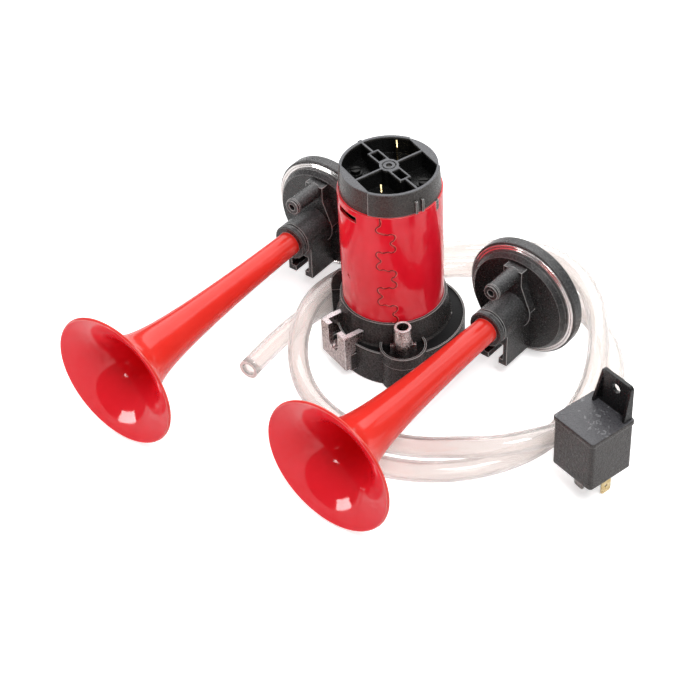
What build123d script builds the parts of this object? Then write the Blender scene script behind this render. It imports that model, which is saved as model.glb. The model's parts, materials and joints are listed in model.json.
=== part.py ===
from build123d import *
import os
from math import atan, cos, degrees, exp, pi, radians, sin, tan

# Compressor-driven air horn outfit for a vehicle: an upright electric compressor, a long and
# a short trumpet, a coil of clear hose and a relay, in the places where the set lies ready to
# be fitted. Millimetres. The origin is on the floor under the compressor's motor axis, with +Z up.

# ---------------------------------------------------------------- driving dimensions
RUNNING_GAP = 0.3          # between a turning piece and its housing
SHAFT_FIT = 0.04           # radial clearance of the shaft in its bushes

# compressor base: an eccentric drum round the pump, with a collar that holds the motor can
DRUM_X = 3.3
DRUM_Y = -3.3
DRUM_R = 34.9
DRUM_WALL = 2.4
DRUM_TOP = 21.5
DECK_THICK = 2.4
LIP_WIDTH = 1.0
LIP_HEIGHT = 0.9
COLLAR_R = 28.8            # at its top; it widens towards the deck
COLLAR_FOOT_R = 30.4
COLLAR_FLARE = 1.2
COLLAR_TOP = 35.3
COVER_THICK = 2.2
INTAKE_ROWS = 3
INTAKE_COLUMNS = 4
INTAKE_PITCH = 7.5
INTAKE_LENGTH = 5.5
INTAKE_WIDTH = 2.0
VENT_X = 30.7
VENT_Y = -5.6
VENT_R = 0.7

# outlet boss and nipple
BOSS_X = 3.0
BOSS_Y = -32.3
BOSS_R = 12.5
BOSS_TOP = 23.8
BOSS_WALL = 1.2
BOSS_STEP = 7.0            # the boss is a little narrower below this depth
BOSS_STEP_IN = 0.3
RECESS_FLOOR = 22.0
NIPPLE_Y = -34.0
NIPPLE_TOP = 38.0
NIPPLE_TIP_R = 4.7
NIPPLE_R = 5.1
NIPPLE_BORE_R = 3.2
NIPPLE_CONE = 7.0
NIPPLE_FLANGE_R = 6.5
NIPPLE_RIB_REACH = 6.9
NIPPLE_RIB_HEIGHT = 4.0

# bracket with the open slot, cast in one piece with the pump
BRACKET_AZ = 212.0
BRACKET_REACH = 40.0
BRACKET_PLATE = 3.0
BRACKET_WIDTH = 22.5
BRACKET_LOW = 5.5
BRACKET_TOP = 28.0
BRACKET_ARM = 3.0
ARM_ROOT = 22.0            # inner end of the arms, inside the collar
BRACKET_SLOT = 8.6
BRACKET_SLOT_LOW = 13.3
ARM_FRONT_LOW = 15.5
ARM_BACK_LOW = 20.4
BLOCK_WIDTH = 4.2
BLOCK_LOW = 4.5
BLOCK_SET_BACK = 0.0
NECK_SHOULDER = 1.5

# side lug of the base
LUG_X = -33.5
LUG_Y = 14.0
LUG_DEPTH = 4.6
LUG_EDGE = 1.6             # thickness at the lug's outer edge
LUG_TOP = 25.5
LUG_LOW = 3.0
RIB_TOP = 38.4
RIB_THICK = 1.8
RIB_SHOULDER = 29.0
RIB_SET_BACK = 0.6

# pump
PUMP_SET_IN = 8.5          # from the drum's radius to the pump's, which stands off the drum's centre
PUMP_LOW = 8.0
PUMP_ROOF = 16.0
PLATE_THICK = 2.5
ROTOR_R = 13.0
ROTOR_OFFSET = 2.0
ROTOR_OFFSET_AZ = 69.0
VANE_COUNT = 4
VANE_THICK = 1.6
VANE_DEPTH = 6.5
PORT_R = 2.0
PUMP_SCREW_EDGE = 4.4
PUMP_SCREW_R = 2.0
PUMP_SCREW_HEAD_R = 3.3
PUMP_SCREW_HEAD = 2.3
PUMP_SCREW_SOCKET_R = 1.5
PUMP_SCREW_SOCKET = 1.2
PUMP_SCREW_SHORT = 1.0     # the tip ends this far below the chamber's roof
PUMP_SCREW_AZ = 40.0
PUMP_SCREW_COUNT = 4
FILTER_GAP = 1.7           # between the filter and the screw heads

# motor
CAN_R = 27.4
CAN_WALL = 1.4
BEARING_PLATE = 2.0
SHAFT_R = 2.5
SHAFT_LOW = 8.4
SHAFT_RISE = 2.0           # above the can's top edge
BUSH_R = 4.6
LOWER_BUSH_TOP = 27.0
CORE_R = 16.0
CORE_LOW = 36.0
SLOT_COUNT = 10
SLOT_WIDTH = 2.4
SLOT_DEPTH = 7.4
WINDING_R = 13.4
WINDING_END = 7.0
COMMUTATOR_R = 6.0
COMMUTATOR_LENGTH = 8.0
COMMUTATOR_GAP = 0.4       # below the brush card
MAGNET_R = 16.8
MAGNET_SPAN = 100.0
MAGNET_AZ = 69.0
MAGNET_OVERHANG = 3.0      # past the core at either end
CLIP_THICK = 0.9
BOLT_R = 1.5
BOLT_RING = 18.3
BOLT_AZ = 159.0
BOLT_HEAD_R = 2.7
BOLT_HEAD = 1.8
BOLT_SLOT_WIDTH = 0.8
BOLT_SLOT_DEPTH = 0.7
BOLT_LOW = 11.0

# slot, dimple and notch in the can
CAN_SLOT_DROP = 3.3        # below the can's top edge
CAN_SLOT_HEIGHT = 3.9
CAN_SLOT_START = -163.5
CAN_SLOT_END = -132.5
DIMPLE_AZ = -148.8
DIMPLE_Z = 58.2
DIMPLE_R = 1.25
DIMPLE_DEPTH = 0.5
SEAM_AZ = -99.0            # interlocked butt seam of the rolled can
SEAM_EAR = 4.8             # reach of its ears to either side
SEAM_WAIST = 2.6
SEAM_START_U = 2.4
SEAM_START_DROP = 4.6      # below the can's top edge
SEAM_PITCH = 11.9          # from one pair of ears to the next, on the other side
SEAM_EAR_DROP = 3.1        # to the single ear at the top
SEAM_PAIR_DROP = 4.1       # from there to the first pair
SEAM_EAR_GAP = 8.2
SEAM_WIDTH = 0.45
SEAM_DEPTH = 0.35
TAB_AZ = -31.0
TAB_WIDTH = 2.6
TAB_DEPTH = 5.8            # into the can's notch, below its top edge

# end cap
CAP_TOP = 118.0
CAP_HEIGHT = 13.4          # above the can's top edge
CAP_R = 25.9               # at its top; the sides have draft
CAP_FOOT_R = 26.7
CAP_STEP = 0.7             # the stretches by the pads stand back by this much
CAP_STEP_AZ = -118.0
CAP_SIDE_SPAN = 112.0
CAP_EAR_WIDTH = 2.2
CAP_EAR_DROP = 4.0
SIDE_RIB_AZ = (-63.0, -55.0)
SIDE_RIB_WIDTH = 1.2
SIDE_RIB_HEIGHT = 7.5
SIDE_RIB_PROUD = 0.9
CAP_WALL = 1.6
CAP_CEILING = 1.0          # from the can's top edge up to the underside of the cap's floor
CAP_FLOOR_THICK = 2.4
SKIRT_LENGTH = 3.6
SKIRT_WALL = 2.2
HUB_R = 5.1
CAP_RIB = 1.1
CAP_RIB_AZ = 32.0
BRUSH_WELL_WIDTH = 6.5
BRUSH_WELL_END = 14.5
BRUSH_WELL_WALL = 0.9
PAD_CHORD = 20.4
PAD_AZ = 28.5
BOLT_BOSS_R = 3.5
BOLT_BOSS_RISE = 2.0
BUSH_RISE = 0.5            # of the upper bush above the brush card

# brushes and terminals
CARD_THICK = 1.6
BRUSH_AZ = 121.0
BRUSH_WIDTH = 5.0
BRUSH_HEIGHT = 4.0
BRUSH_LENGTH = 8.0
BRUSH_BOX_WALL = 0.6
BRUSH_BOX_START = 7.4
BRUSH_BOX_END = 20.0
SPRING_STRIP = 0.5
TERMINAL_X = 5.0
TERMINAL_Y = 18.5
TERMINAL_WIDTH = 6.3
TERMINAL_THICK = 0.8
TERMINAL_PROUD = 0.5

# trumpets
BELL_R = 38.0
TRUMPET_WALL = 1.4
LIP_DEPTH = 1.4
LIP_INSET = 0.6            # by which the lip rounds over towards the rim
THROAT_R = 5.9
TAPER_R = 12.2
TAPER_LENGTH = 55.0
FLARE_R = 20.2
FLARE_LENGTH = 8.0
SOCKET_DEPTH = 14.0
HUB_LENGTH = 33.2
HORN_HUB_R = 10.2
HUB_GROOVE = 3.0
DISC_FRONT_R = 27.8
DISC_R = 29.8
DISC_FRONT = 5.2           # distance of the disc's front face from the cover's front face
DISC_SHOULDER = 2.7
RING_R = 32.8
RING_THICK = 0.7
COVER_R = 33.9
COVER_DEPTH = 6.6
COVER_WALL = 2.3
EDGE_ROUND = 0.8
DIAPHRAGM_R = 28.6
DIAPHRAGM_THICK = 0.4
CHAMBER_OUT_R = 25.0
NOZZLE_R = 8.0
NOZZLE_BORE_R = 5.2
PAD_THICK = 4.8
PAD_WIDTH = 11.6
PAD_LOW = 17.0
PAD_TOP = 25.8
SPIGOT_W = 22.3
SPIGOT_TIP = 29.3          # distance of the spigot's tip from the cover's front face
SPIGOT_TIP_R = 4.2
SPIGOT_ROOT_R = 4.7
SPIGOT_BORE_R = 1.9
FOOT_START = 25.0
FOOT_HALF = 8.5
FOOT_DROP = 26.6
FOOT_WALL = 2.5
FOOT_LIP = 3.5
FOOT_SLOT = 6.6
LONG_LENGTH = 175.6        # from the bell's rim to the cover's front face
LONG_AZ = 50.0             # direction from the bell towards the diaphragm housing
LONG_X = -146.9
LONG_Y = -63.96
SHORT_LENGTH = 162.7
SHORT_AZ = 48.4
SHORT_X = -39.9
SHORT_Y = -133.7

# relay, in a frame of its own: +X out of the face with the tab, standing on its blades
RELAY_X = 91.98
RELAY_Y = -115.28
RELAY_TURN = 35.6
RELAY_SIDE = 28.0
RELAY_LOW = 12.0
RELAY_TOP = 43.7
RELAY_WALL = 1.3
RELAY_LID = 2.3
RELAY_LID_STEP = 0.5
RELAY_BASE = 3.0
RELAY_CORNER = 2.2
TAB_THICK = 2.0
TAB_SET_BACK = 1.0
TAB_TOP = 65.2
TAB_NEAR = 10.0            # edges of the tab along the face, at its foot
TAB_FAR = -13.0
TAB_NARROW = 2.8
TAB_CORNER = 2.0
TAB_HOLE_R = 2.8
TAB_HOLE_Y = -3.0
TAB_HOLE_Z = 58.3
GUSSET_DEPTH = 3.2
GUSSET_THICK = 1.6
BLADE_WIDTH = 6.3
BLADE_THICK = 0.8
BLADE_HOLE_R = 0.9
BLADE_HOLE_Z = 4.5
BLADE_INSIDE = 1.2
BLADE_CONTACT_Y = -10.9
BLADE_COMMON_Y = 6.0
BLADE_COIL_X = 7.65
CORE_PIN_R = 3.0
BOBBIN_TUBE = 1.0
BOBBIN_FLANGE_R = 8.0
BOBBIN_FLANGE = 1.2
COIL_R = 7.4
YOKE_THICK = 1.6
YOKE_WIDTH = 12.0
YOKE_X = 8.6
YOKE_TOP = 36.4
YOKE_LIFT = 1.8
ARMATURE_GAP = 0.5
ARMATURE_THICK = 1.3
CORE_HEAD_R = 4.4
CORE_HEAD = 1.2
CONTACT_X = -10.0
CONTACT_R = 1.6
CONTACT_HEIGHT = 1.2
CONTACT_GAP = 0.8

# hose, lying loose; the far ends are bare
HOSE_R = 4.75
BEND_SHARE = 0.48          # share of each run that a bend takes at either end
HOSE_BORE_R = 3.25
REST = HOSE_R              # height of the centreline where the hose lies on the floor
HOSE_ROUTE = [
    (-80.5, -25.0, REST), (-72.0, -12.5, REST), (-63.0, -0.5, REST), (-53.0, 11.0, REST),
    (-42.0, 21.8, REST), (-30.0, 31.0, REST), (-17.0, 38.8, REST), (-3.0, 44.5, REST),
    (12.0, 48.2, REST), (27.5, 50.2, REST), (43.0, 50.5, REST), (58.5, 47.5, REST),
    (73.0, 40.8, REST), (86.0, 31.0, REST), (97.5, 19.0, REST), (106.5, 4.5, REST),
    (112.5, -11.5, REST), (115.2, -28.5, REST), (114.5, -45.5, REST), (110.0, -61.5, 5.0),
    (102.0, -76.0, 7.0), (90.5, -88.5, 10.5), (76.0, -98.0, 13.7), (60.0, -103.5, 15.0),
    (43.5, -104.9, 14.0), (27.5, -101.8, 10.8), (12.0, -96.5, 7.0), (-3.5, -90.0, 5.2),
    (-18.5, -82.0, REST), (-31.5, -71.5, REST), (-42.0, -58.5, REST), (-49.3, -43.5, REST),
    (-53.2, -27.5, 5.5), (-53.5, -11.5, 9.0), (-49.8, 3.5, 12.6), (-43.0, 17.8, 14.8),
    (-32.2, 29.2, 15.2), (-18.8, 38.1, 15.2), (-4.5, 45.5, 15.0), (9.5, 53.0, 13.8),
    (24.0, 59.8, 9.8), (40.0, 64.5, 6.0), (56.5, 65.6, 4.9), (72.4, 61.9, 6.2),
    (86.6, 53.0, 9.2), (97.3, 39.8, 12.3), (104.0, 24.0, 14.6), (108.0, 7.5, 15.3),
    (109.3, -9.5, 14.8), (108.3, -26.0, 13.0), (104.8, -42.0, 9.4), (98.8, -57.5, 6.2),
    (90.3, -72.0, REST), (79.0, -85.3, REST), (65.5, -96.7, REST), (50.5, -105.3, REST),
    (34.0, -110.5, REST), (17.0, -112.0, REST), (0.5, -109.8, REST), (-15.0, -104.5, REST),
    (-29.5, -97.0, REST),
]

# ---------------------------------------------------------------- sizes that follow
CAN_IN = CAN_R - CAN_WALL
CAN_LOW = DRUM_TOP - LIP_HEIGHT
PUMP_TOP = CAN_LOW - DECK_THICK
CHAMBER_R = ROTOR_R + ROTOR_OFFSET + RUNNING_GAP
PUMP_R = DRUM_R - PUMP_SET_IN
PUMP_SCREW_RING = PUMP_R - PUMP_SCREW_EDGE
FILTER_R = PUMP_SCREW_RING - PUMP_SCREW_HEAD_R - FILTER_GAP
CAN_TOP = CAP_TOP - CAP_HEIGHT
CAN_SLOT_HIGH = CAN_TOP - CAN_SLOT_DROP
CAN_SLOT_LOW = CAN_SLOT_HIGH - CAN_SLOT_HEIGHT
SEAM_START_Z = CAN_TOP - SEAM_START_DROP
SEAM_FIRST_EAR = SEAM_START_Z - SEAM_EAR_DROP
SEAM_FIRST_PAIR = SEAM_FIRST_EAR - SEAM_PAIR_DROP
TAB_LOW = CAN_TOP - TAB_DEPTH
CAP_FLOOR = CAN_TOP + CAP_CEILING + CAP_FLOOR_THICK
BOLT_BOSS_TOP = CAP_FLOOR + BOLT_BOSS_RISE
TERMINAL_TOP = CAP_TOP + TERMINAL_PROUD
SKIRT_LOW = CAN_TOP - SKIRT_LENGTH
SHAFT_TOP = CAN_TOP + SHAFT_RISE
CARD_TOP = SKIRT_LOW
CARD_LOW = CARD_TOP - CARD_THICK
UPPER_BUSH_LOW = CARD_TOP + BUSH_RISE
COMMUTATOR_TOP = CARD_LOW - COMMUTATOR_GAP
CORE_TOP = COMMUTATOR_TOP - COMMUTATOR_LENGTH - WINDING_END
MAGNET_LOW = CORE_LOW - MAGNET_OVERHANG
MAGNET_TOP = CORE_TOP + MAGNET_OVERHANG
BRUSH_MID = CARD_LOW - BRUSH_BOX_WALL - BRUSH_HEIGHT / 2
BRUSH_START = COMMUTATOR_R + RUNNING_GAP
PLATE_LOW = PUMP_LOW - PLATE_THICK
RELAY_DECK = RELAY_LOW + RELAY_BASE
COIL_LOW = RELAY_DECK + YOKE_LIFT + YOKE_THICK
YOKE_LOW = COIL_LOW - YOKE_THICK
CORE_FACE = YOKE_TOP + RUNNING_GAP - ARMATURE_GAP


# ---------------------------------------------------------------- shared shapes
def disc(radius, low, high, x=0.0, y=0.0):
    """Upright cylinder between two heights."""
    return Pos(x, y, (low + high) / 2) * Cylinder(radius, high - low)


def ring(outer, inner, low, high, x=0.0, y=0.0):
    """Upright tube between two heights."""
    return disc(outer, low, high, x, y) - disc(inner, low, high, x, y)


def cone(low_radius, high_radius, low, high):
    """Upright cone between two heights."""
    return Pos(0, 0, (low + high) / 2) * Cone(low_radius, high_radius, high - low)


def block(x0, x1, y0, y1, z0, z1):
    """Box between two corners."""
    return Pos((x0 + x1) / 2, (y0 + y1) / 2, (z0 + z1) / 2) * Box(x1 - x0, y1 - y0, z1 - z0)


def at_azimuth(azimuth, shape):
    """Turn a shape that is drawn along +X about the upright axis."""
    return Rot(0, 0, azimuth) * shape


def wedge(start, end, radius, low, high):
    """Pie slice of the upright axis, under half a turn wide, for cutting rings into arcs."""
    half = (end - start) / 2
    reach = radius / cos(radians(half))
    outline = Polyline(
        (0, 0),
        polar(reach, start),
        polar(radius * 1.5, (start + end) / 2),
        polar(reach, end),
        close=True,
    )
    return Pos(0, 0, low) * extrude(make_face(outline), high - low)


def polar(radius, azimuth):
    """Plan position at a radius and azimuth."""
    return radius * cos(radians(azimuth)), radius * sin(radians(azimuth))


# ---------------------------------------------------------------- compressor base and pump
def bracket_neck():
    """Neck that joins the bracket to the pump through the drum's wall."""
    half = BRACKET_WIDTH / 2 - BRACKET_ARM - NECK_SHOULDER
    neck = block(PUMP_R - 6, BRACKET_REACH - 0.5, -half, half, PUMP_LOW, BRACKET_SLOT_LOW)
    return at_azimuth(BRACKET_AZ, neck)


def collar():
    """Collar round the can's foot, wider towards the deck."""
    outline = Polyline(
        (0, CAN_LOW - 1),
        (COLLAR_FOOT_R + COLLAR_FLARE, CAN_LOW - 1),
        (COLLAR_FOOT_R + COLLAR_FLARE, CAN_LOW),
        (COLLAR_FOOT_R, CAN_LOW + COLLAR_FLARE),
        (COLLAR_R, COLLAR_TOP),
        (0, COLLAR_TOP),
        close=True,
    )
    return revolve(Plane.XZ * make_face(outline), Axis.Z)


def side_lug():
    """Lug on the side of the drum, with a taller rib behind it that reaches the can."""
    inner = -CAN_R / 2
    plan = Polyline(
        (LUG_X, LUG_Y),
        (LUG_X, LUG_Y + LUG_EDGE),
        (LUG_X + LUG_DEPTH, LUG_Y + LUG_DEPTH),
        (inner, LUG_Y + LUG_DEPTH),
        (inner, LUG_Y),
        close=True,
    )
    lug = Pos(0, 0, LUG_LOW) * extrude(make_face(plan), LUG_TOP - LUG_LOW)
    rib_side = Polyline(
        (LUG_X, LUG_LOW),
        (LUG_X, RIB_SHOULDER),
        (LUG_X + 1.2, RIB_SHOULDER + 5.4),
        (LUG_X + 4.6, RIB_TOP),
        (inner, RIB_TOP),
        (inner, LUG_LOW),
        close=True,
    )
    rib_back = LUG_Y + RIB_SET_BACK + RIB_THICK
    rib = Pos(0, rib_back, 0) * extrude(Plane.XZ * make_face(rib_side), RIB_THICK)
    return lug + rib


def base_housing():
    """Moulded base: drum, collar, outlet boss, side lug and the blocks under the bracket's arms."""
    deck = CAN_LOW
    body = disc(DRUM_R, 0, DRUM_TOP, DRUM_X, DRUM_Y)
    body -= disc(DRUM_R - LIP_WIDTH, deck, DRUM_TOP, DRUM_X, DRUM_Y)
    body += collar()
    body += disc(BOSS_R - BOSS_STEP_IN, 0, BOSS_TOP - BOSS_STEP, BOSS_X, BOSS_Y)
    body += disc(BOSS_R, BOSS_TOP - BOSS_STEP, BOSS_TOP, BOSS_X, BOSS_Y)
    body += side_lug()
    # blocks under the bracket's arms
    outer = BRACKET_WIDTH / 2 + 0.4
    seat = BRACKET_REACH - BRACKET_PLATE - BLOCK_SET_BACK
    for side in (-1, 1):
        inner_edge = side * (outer - BLOCK_WIDTH)
        edges = sorted((inner_edge, side * outer))
        body += at_azimuth(BRACKET_AZ, block(ARM_ROOT, seat, edges[0], edges[1], BLOCK_LOW, ARM_FRONT_LOW))
    # hollow for the pump, the deck's hole and the can's seat
    hollow = disc(DRUM_R - DRUM_WALL, 0, PUMP_TOP, DRUM_X, DRUM_Y)
    hollow += disc(BOSS_R - DRUM_WALL, 0, PUMP_TOP, BOSS_X, BOSS_Y)
    body -= hollow
    body -= disc(CAN_R, deck, RIB_TOP + 1)
    body -= disc(BUSH_R + 1.5, PUMP_TOP, deck)
    body -= disc(BOSS_R - BOSS_WALL, RECESS_FLOOR, BOSS_TOP, BOSS_X, BOSS_Y) - collar()
    body -= disc(NIPPLE_R, 0, COLLAR_TOP, BOSS_X, NIPPLE_Y)
    rib_reach = NIPPLE_RIB_REACH
    left = BOSS_X - rib_reach
    right = BOSS_X + rib_reach
    body -= block(left, right, NIPPLE_Y - 1, NIPPLE_Y + 1, RECESS_FLOOR, BOSS_TOP + 9)
    body -= disc(VENT_R, deck - 1.2, deck, VENT_X, VENT_Y)
    for side in (0, 180):
        x, y = polar(BOLT_RING, BOLT_AZ + side)
        body -= disc(BOLT_R, PUMP_TOP, deck, x, y)
    return body - bracket_neck() - bracket_body()


def base_cover():
    """Flat cover under the drum, with intake slots below the filter."""
    cover = disc(DRUM_R - DRUM_WALL, 0, COVER_THICK, DRUM_X, DRUM_Y)
    cover += disc(BOSS_R - DRUM_WALL, 0, COVER_THICK, BOSS_X, BOSS_Y)
    slot = Pos(0, 0, COVER_THICK) * extrude(SlotOverall(INTAKE_LENGTH, INTAKE_WIDTH), -COVER_THICK)
    for row in range(INTAKE_ROWS):
        for column in range(INTAKE_COLUMNS):
            x = (column - (INTAKE_COLUMNS - 1) / 2) * INTAKE_PITCH
            y = (row - (INTAKE_ROWS - 1) / 2) * INTAKE_PITCH
            cover -= Pos(x, y, 0) * slot
    return cover


def bracket_body():
    """Slotted plate with two arms that run back over the drum to the collar."""
    half = BRACKET_WIDTH / 2
    front = BRACKET_REACH
    back = BRACKET_REACH - BRACKET_PLATE
    plate = block(back, front, -half, half, BRACKET_LOW, BRACKET_TOP)
    plate = fillet(plate.edges().filter_by(Axis.X).group_by(Axis.Z)[-1], 1.2)
    side_view = Polyline(
        (back, ARM_FRONT_LOW),
        (ARM_ROOT, ARM_BACK_LOW),
        (ARM_ROOT, BRACKET_TOP),
        (back, BRACKET_TOP),
        close=True,
    )
    arm = extrude(Plane.XZ * make_face(side_view), BRACKET_ARM)
    body = plate + Pos(0, half, 0) * arm + Pos(0, BRACKET_ARM - half, 0) * arm
    body -= block(ARM_ROOT - 2, back - 0.01, -half, half, 0, CAN_LOW) & Rot(0, 0, -BRACKET_AZ) * disc(
        DRUM_R, 0, CAN_LOW, DRUM_X, DRUM_Y
    )
    slot_r = BRACKET_SLOT / 2
    body -= block(back - 1, front + 1, -slot_r, slot_r, BRACKET_SLOT_LOW + slot_r, BRACKET_TOP + 1)
    slot_place = Pos(front, 0, BRACKET_SLOT_LOW + slot_r) * Rot(0, 90, 0)
    slot_round = slot_place * Cylinder(slot_r, 3 * BRACKET_PLATE)
    body -= slot_round
    body = at_azimuth(BRACKET_AZ, body)
    return body - collar() - disc(DRUM_R, CAN_LOW, DRUM_TOP, DRUM_X, DRUM_Y)


def nipple():
    """Hose nipple with a tapered tip, standing in the outlet boss, with a small rib each side."""
    profile = Polyline(
        (NIPPLE_BORE_R, PUMP_TOP - 1),
        (NIPPLE_R, PUMP_TOP - 1),
        (NIPPLE_R, NIPPLE_TOP - NIPPLE_CONE),
        (NIPPLE_TIP_R, NIPPLE_TOP - 0.6),
        (NIPPLE_TIP_R - 0.4, NIPPLE_TOP),
        (NIPPLE_BORE_R, NIPPLE_TOP),
        close=True,
    )
    tube = revolve(Plane.XZ * make_face(profile), Axis.Z)
    rib_top = RECESS_FLOOR + NIPPLE_RIB_HEIGHT
    ribs = block(-NIPPLE_RIB_REACH, NIPPLE_RIB_REACH, -1.0, 1.0, RECESS_FLOOR, rib_top)
    ribs -= disc(NIPPLE_BORE_R, RECESS_FLOOR, rib_top)
    return Pos(BOSS_X, NIPPLE_Y, 0) * (tube + ribs)


def pump_casting():
    """Cast pump body with its eccentric chamber, outlet nipple and mounting bracket."""
    flange = NIPPLE_FLANGE_R
    body = disc(PUMP_R, PUMP_LOW, PUMP_TOP)
    body += block(BOSS_X - flange, BOSS_X + flange, NIPPLE_Y, 0, PUMP_LOW, PUMP_TOP)
    body += disc(flange, PUMP_LOW, PUMP_TOP, BOSS_X, NIPPLE_Y)
    body += nipple()
    body += bracket_neck()
    body += bracket_body()
    x, y = polar(ROTOR_OFFSET, ROTOR_OFFSET_AZ)
    body -= disc(CHAMBER_R, PUMP_LOW, PUMP_ROOF, x, y)
    body -= disc(SHAFT_R + RUNNING_GAP, PUMP_LOW, PUMP_TOP)
    channel_z = (PUMP_LOW + PUMP_ROOF) / 2
    channel = Pos(BOSS_X, NIPPLE_Y / 2, channel_z) * Rot(90, 0, 0) * Cylinder(PORT_R, -NIPPLE_Y)
    body -= channel & block(-99, 99, NIPPLE_Y, -CHAMBER_R + 4, 0, 99)
    body -= disc(NIPPLE_BORE_R, channel_z, PUMP_TOP, BOSS_X, NIPPLE_Y)
    for side in (0, 180):
        x, y = polar(BOLT_RING, BOLT_AZ + side)
        body -= disc(BOLT_R, BOLT_LOW, PUMP_TOP, x, y)
    for x, y in pump_screw_places():
        body -= disc(PUMP_SCREW_R, PUMP_LOW, PUMP_ROOF, x, y)
    return body


def pump_screw_places():
    """Plan positions of the screws that hold the pump's cover plate."""
    step = 360 / PUMP_SCREW_COUNT
    return [polar(PUMP_SCREW_RING, PUMP_SCREW_AZ + step * i) for i in range(PUMP_SCREW_COUNT)]


def pump_cover_plate():
    """Flat plate that closes the pump from below, with its intake port."""
    plate = disc(PUMP_R, PLATE_LOW, PUMP_LOW)
    x, y = polar(ROTOR_R - 2.5, ROTOR_OFFSET_AZ + 60)
    plate -= disc(PORT_R, PLATE_LOW, PUMP_LOW, x, y)
    for x, y in pump_screw_places():
        plate -= disc(PUMP_SCREW_R, PLATE_LOW, PUMP_LOW, x, y)
    return plate


def pump_cover_screws():
    """Screws up through the cover plate into the pump casting."""
    screws = []
    for x, y in pump_screw_places():
        head = disc(PUMP_SCREW_HEAD_R, PLATE_LOW - PUMP_SCREW_HEAD, PLATE_LOW, x, y)
        under = PLATE_LOW - PUMP_SCREW_HEAD
        head -= disc(PUMP_SCREW_SOCKET_R, under, under + PUMP_SCREW_SOCKET, x, y)
        screws.append(head + disc(PUMP_SCREW_R, PLATE_LOW, PUMP_ROOF - PUMP_SCREW_SHORT, x, y))
    return Compound(children=screws)


def intake_filter():
    """Round foam pad between the base cover and the pump's cover plate."""
    return disc(FILTER_R, COVER_THICK, PLATE_LOW)


def vane_slots(width):
    """Slots of the pump rotor, each beside the radius as in a vane pump."""
    slots = []
    for i in range(VANE_COUNT):
        slot = block(ROTOR_R - VANE_DEPTH, ROTOR_R + 1, -width / 2, width / 2, 0, PUMP_ROOF + 1)
        slots.append(at_azimuth(360 / VANE_COUNT * i, slot))
    return slots


def rotor_space(radius):
    """Height of the pump chamber less the running gap at both faces."""
    return disc(radius, PUMP_LOW + RUNNING_GAP, PUMP_ROOF - RUNNING_GAP)


def pump_rotor():
    """Rotor on the shaft's lower end, with a slot for each vane."""
    rotor = rotor_space(ROTOR_R) - disc(SHAFT_R, 0, PUMP_TOP)
    for slot in vane_slots(VANE_THICK):
        rotor -= slot
    return rotor


def pump_vanes():
    """Sliding vanes, drawn in their slots."""
    vanes = [rotor_space(ROTOR_R) & slot for slot in vane_slots(VANE_THICK)]
    return Compound(children=[solid for vane in vanes for solid in vane.solids()])


# ---------------------------------------------------------------- motor
def can_seam():
    """Groove of the can's butt seam: pairs of ears that lock the two edges, left and right in turn."""
    points = [(-SEAM_START_U, CAN_TOP + 1), (-SEAM_START_U, SEAM_START_Z), (-SEAM_EAR, SEAM_FIRST_EAR)]
    side = 1
    ear = SEAM_FIRST_PAIR
    while ear > COLLAR_TOP - SEAM_PITCH:
        points.append((0, ear + (SEAM_PITCH - SEAM_EAR_GAP) / 2))
        points.append((side * SEAM_EAR, ear))
        points.append((side * SEAM_WAIST, ear - SEAM_EAR_GAP / 2))
        points.append((side * SEAM_EAR, ear - SEAM_EAR_GAP))
        ear -= SEAM_PITCH
        side = -side
    straight = Line(points[0], points[1])
    wave = Spline(*points[1:])
    plane = Plane(origin=(*polar(CAN_R - SEAM_DEPTH, SEAM_AZ), 0), x_dir=(*polar(1, SEAM_AZ + 90), 0),
                  z_dir=(*polar(1, SEAM_AZ), 0))
    line = plane * trace(straight + wave, SEAM_WIDTH)
    return extrude(line, 2 * SEAM_DEPTH)


def motor_can():
    """Rolled steel can with its slot, dimple and the notch for the cap's tab."""
    can = ring(CAN_R, CAN_IN, CAN_LOW, CAN_TOP)
    can -= wedge(CAN_SLOT_START, CAN_SLOT_END, CAN_R, CAN_SLOT_LOW, CAN_SLOT_HIGH)
    notch = block(CAN_IN - 2, CAN_R + 1, -TAB_WIDTH / 2, TAB_WIDTH / 2, TAB_LOW, CAN_TOP)
    can -= at_azimuth(TAB_AZ, notch)
    can -= can_seam()
    dimple = Pos(CAN_R, 0, DIMPLE_Z) * Rot(0, 90, 0) * Cylinder(DIMPLE_R, 2 * DIMPLE_DEPTH)
    return can - at_azimuth(DIMPLE_AZ, dimple)


def motor_bearing_plate():
    """Steel plate in the can's foot that carries the lower bush."""
    plate = disc(CAN_IN, CAN_LOW, CAN_LOW + BEARING_PLATE)
    plate += disc(BUSH_R + 1.5, CAN_LOW, LOWER_BUSH_TOP)
    plate -= disc(BUSH_R, CAN_LOW, LOWER_BUSH_TOP)
    for side in (0, 180):
        x, y = polar(BOLT_RING, BOLT_AZ + side)
        plate -= disc(BOLT_R, CAN_LOW, LOWER_BUSH_TOP, x, y)
    return plate


def bush(low, high):
    """Sintered bearing bush round the shaft."""
    return ring(BUSH_R, SHAFT_R + SHAFT_FIT, low, high)


def magnet(azimuth):
    """Arc magnet against the can's wall."""
    half = MAGNET_SPAN / 2
    arc = ring(CAN_IN, MAGNET_R, MAGNET_LOW, MAGNET_TOP)
    return arc & wedge(azimuth - half, azimuth + half, CAN_R * 2, MAGNET_LOW, MAGNET_TOP)


def magnet_clips():
    """Spring strips that press the two magnets apart along the can's wall."""
    half = (180 - MAGNET_SPAN) / 2
    clips = []
    for side in (90, 270):
        middle = MAGNET_AZ + side
        span = wedge(middle - half, middle + half, CAN_R * 2, MAGNET_LOW, MAGNET_TOP)
        strip = ring(CAN_IN, CAN_IN - CLIP_THICK, MAGNET_LOW + 6, MAGNET_TOP - 6) & span
        clips.append(strip.solids()[0])
    return Compound(children=clips)


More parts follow.
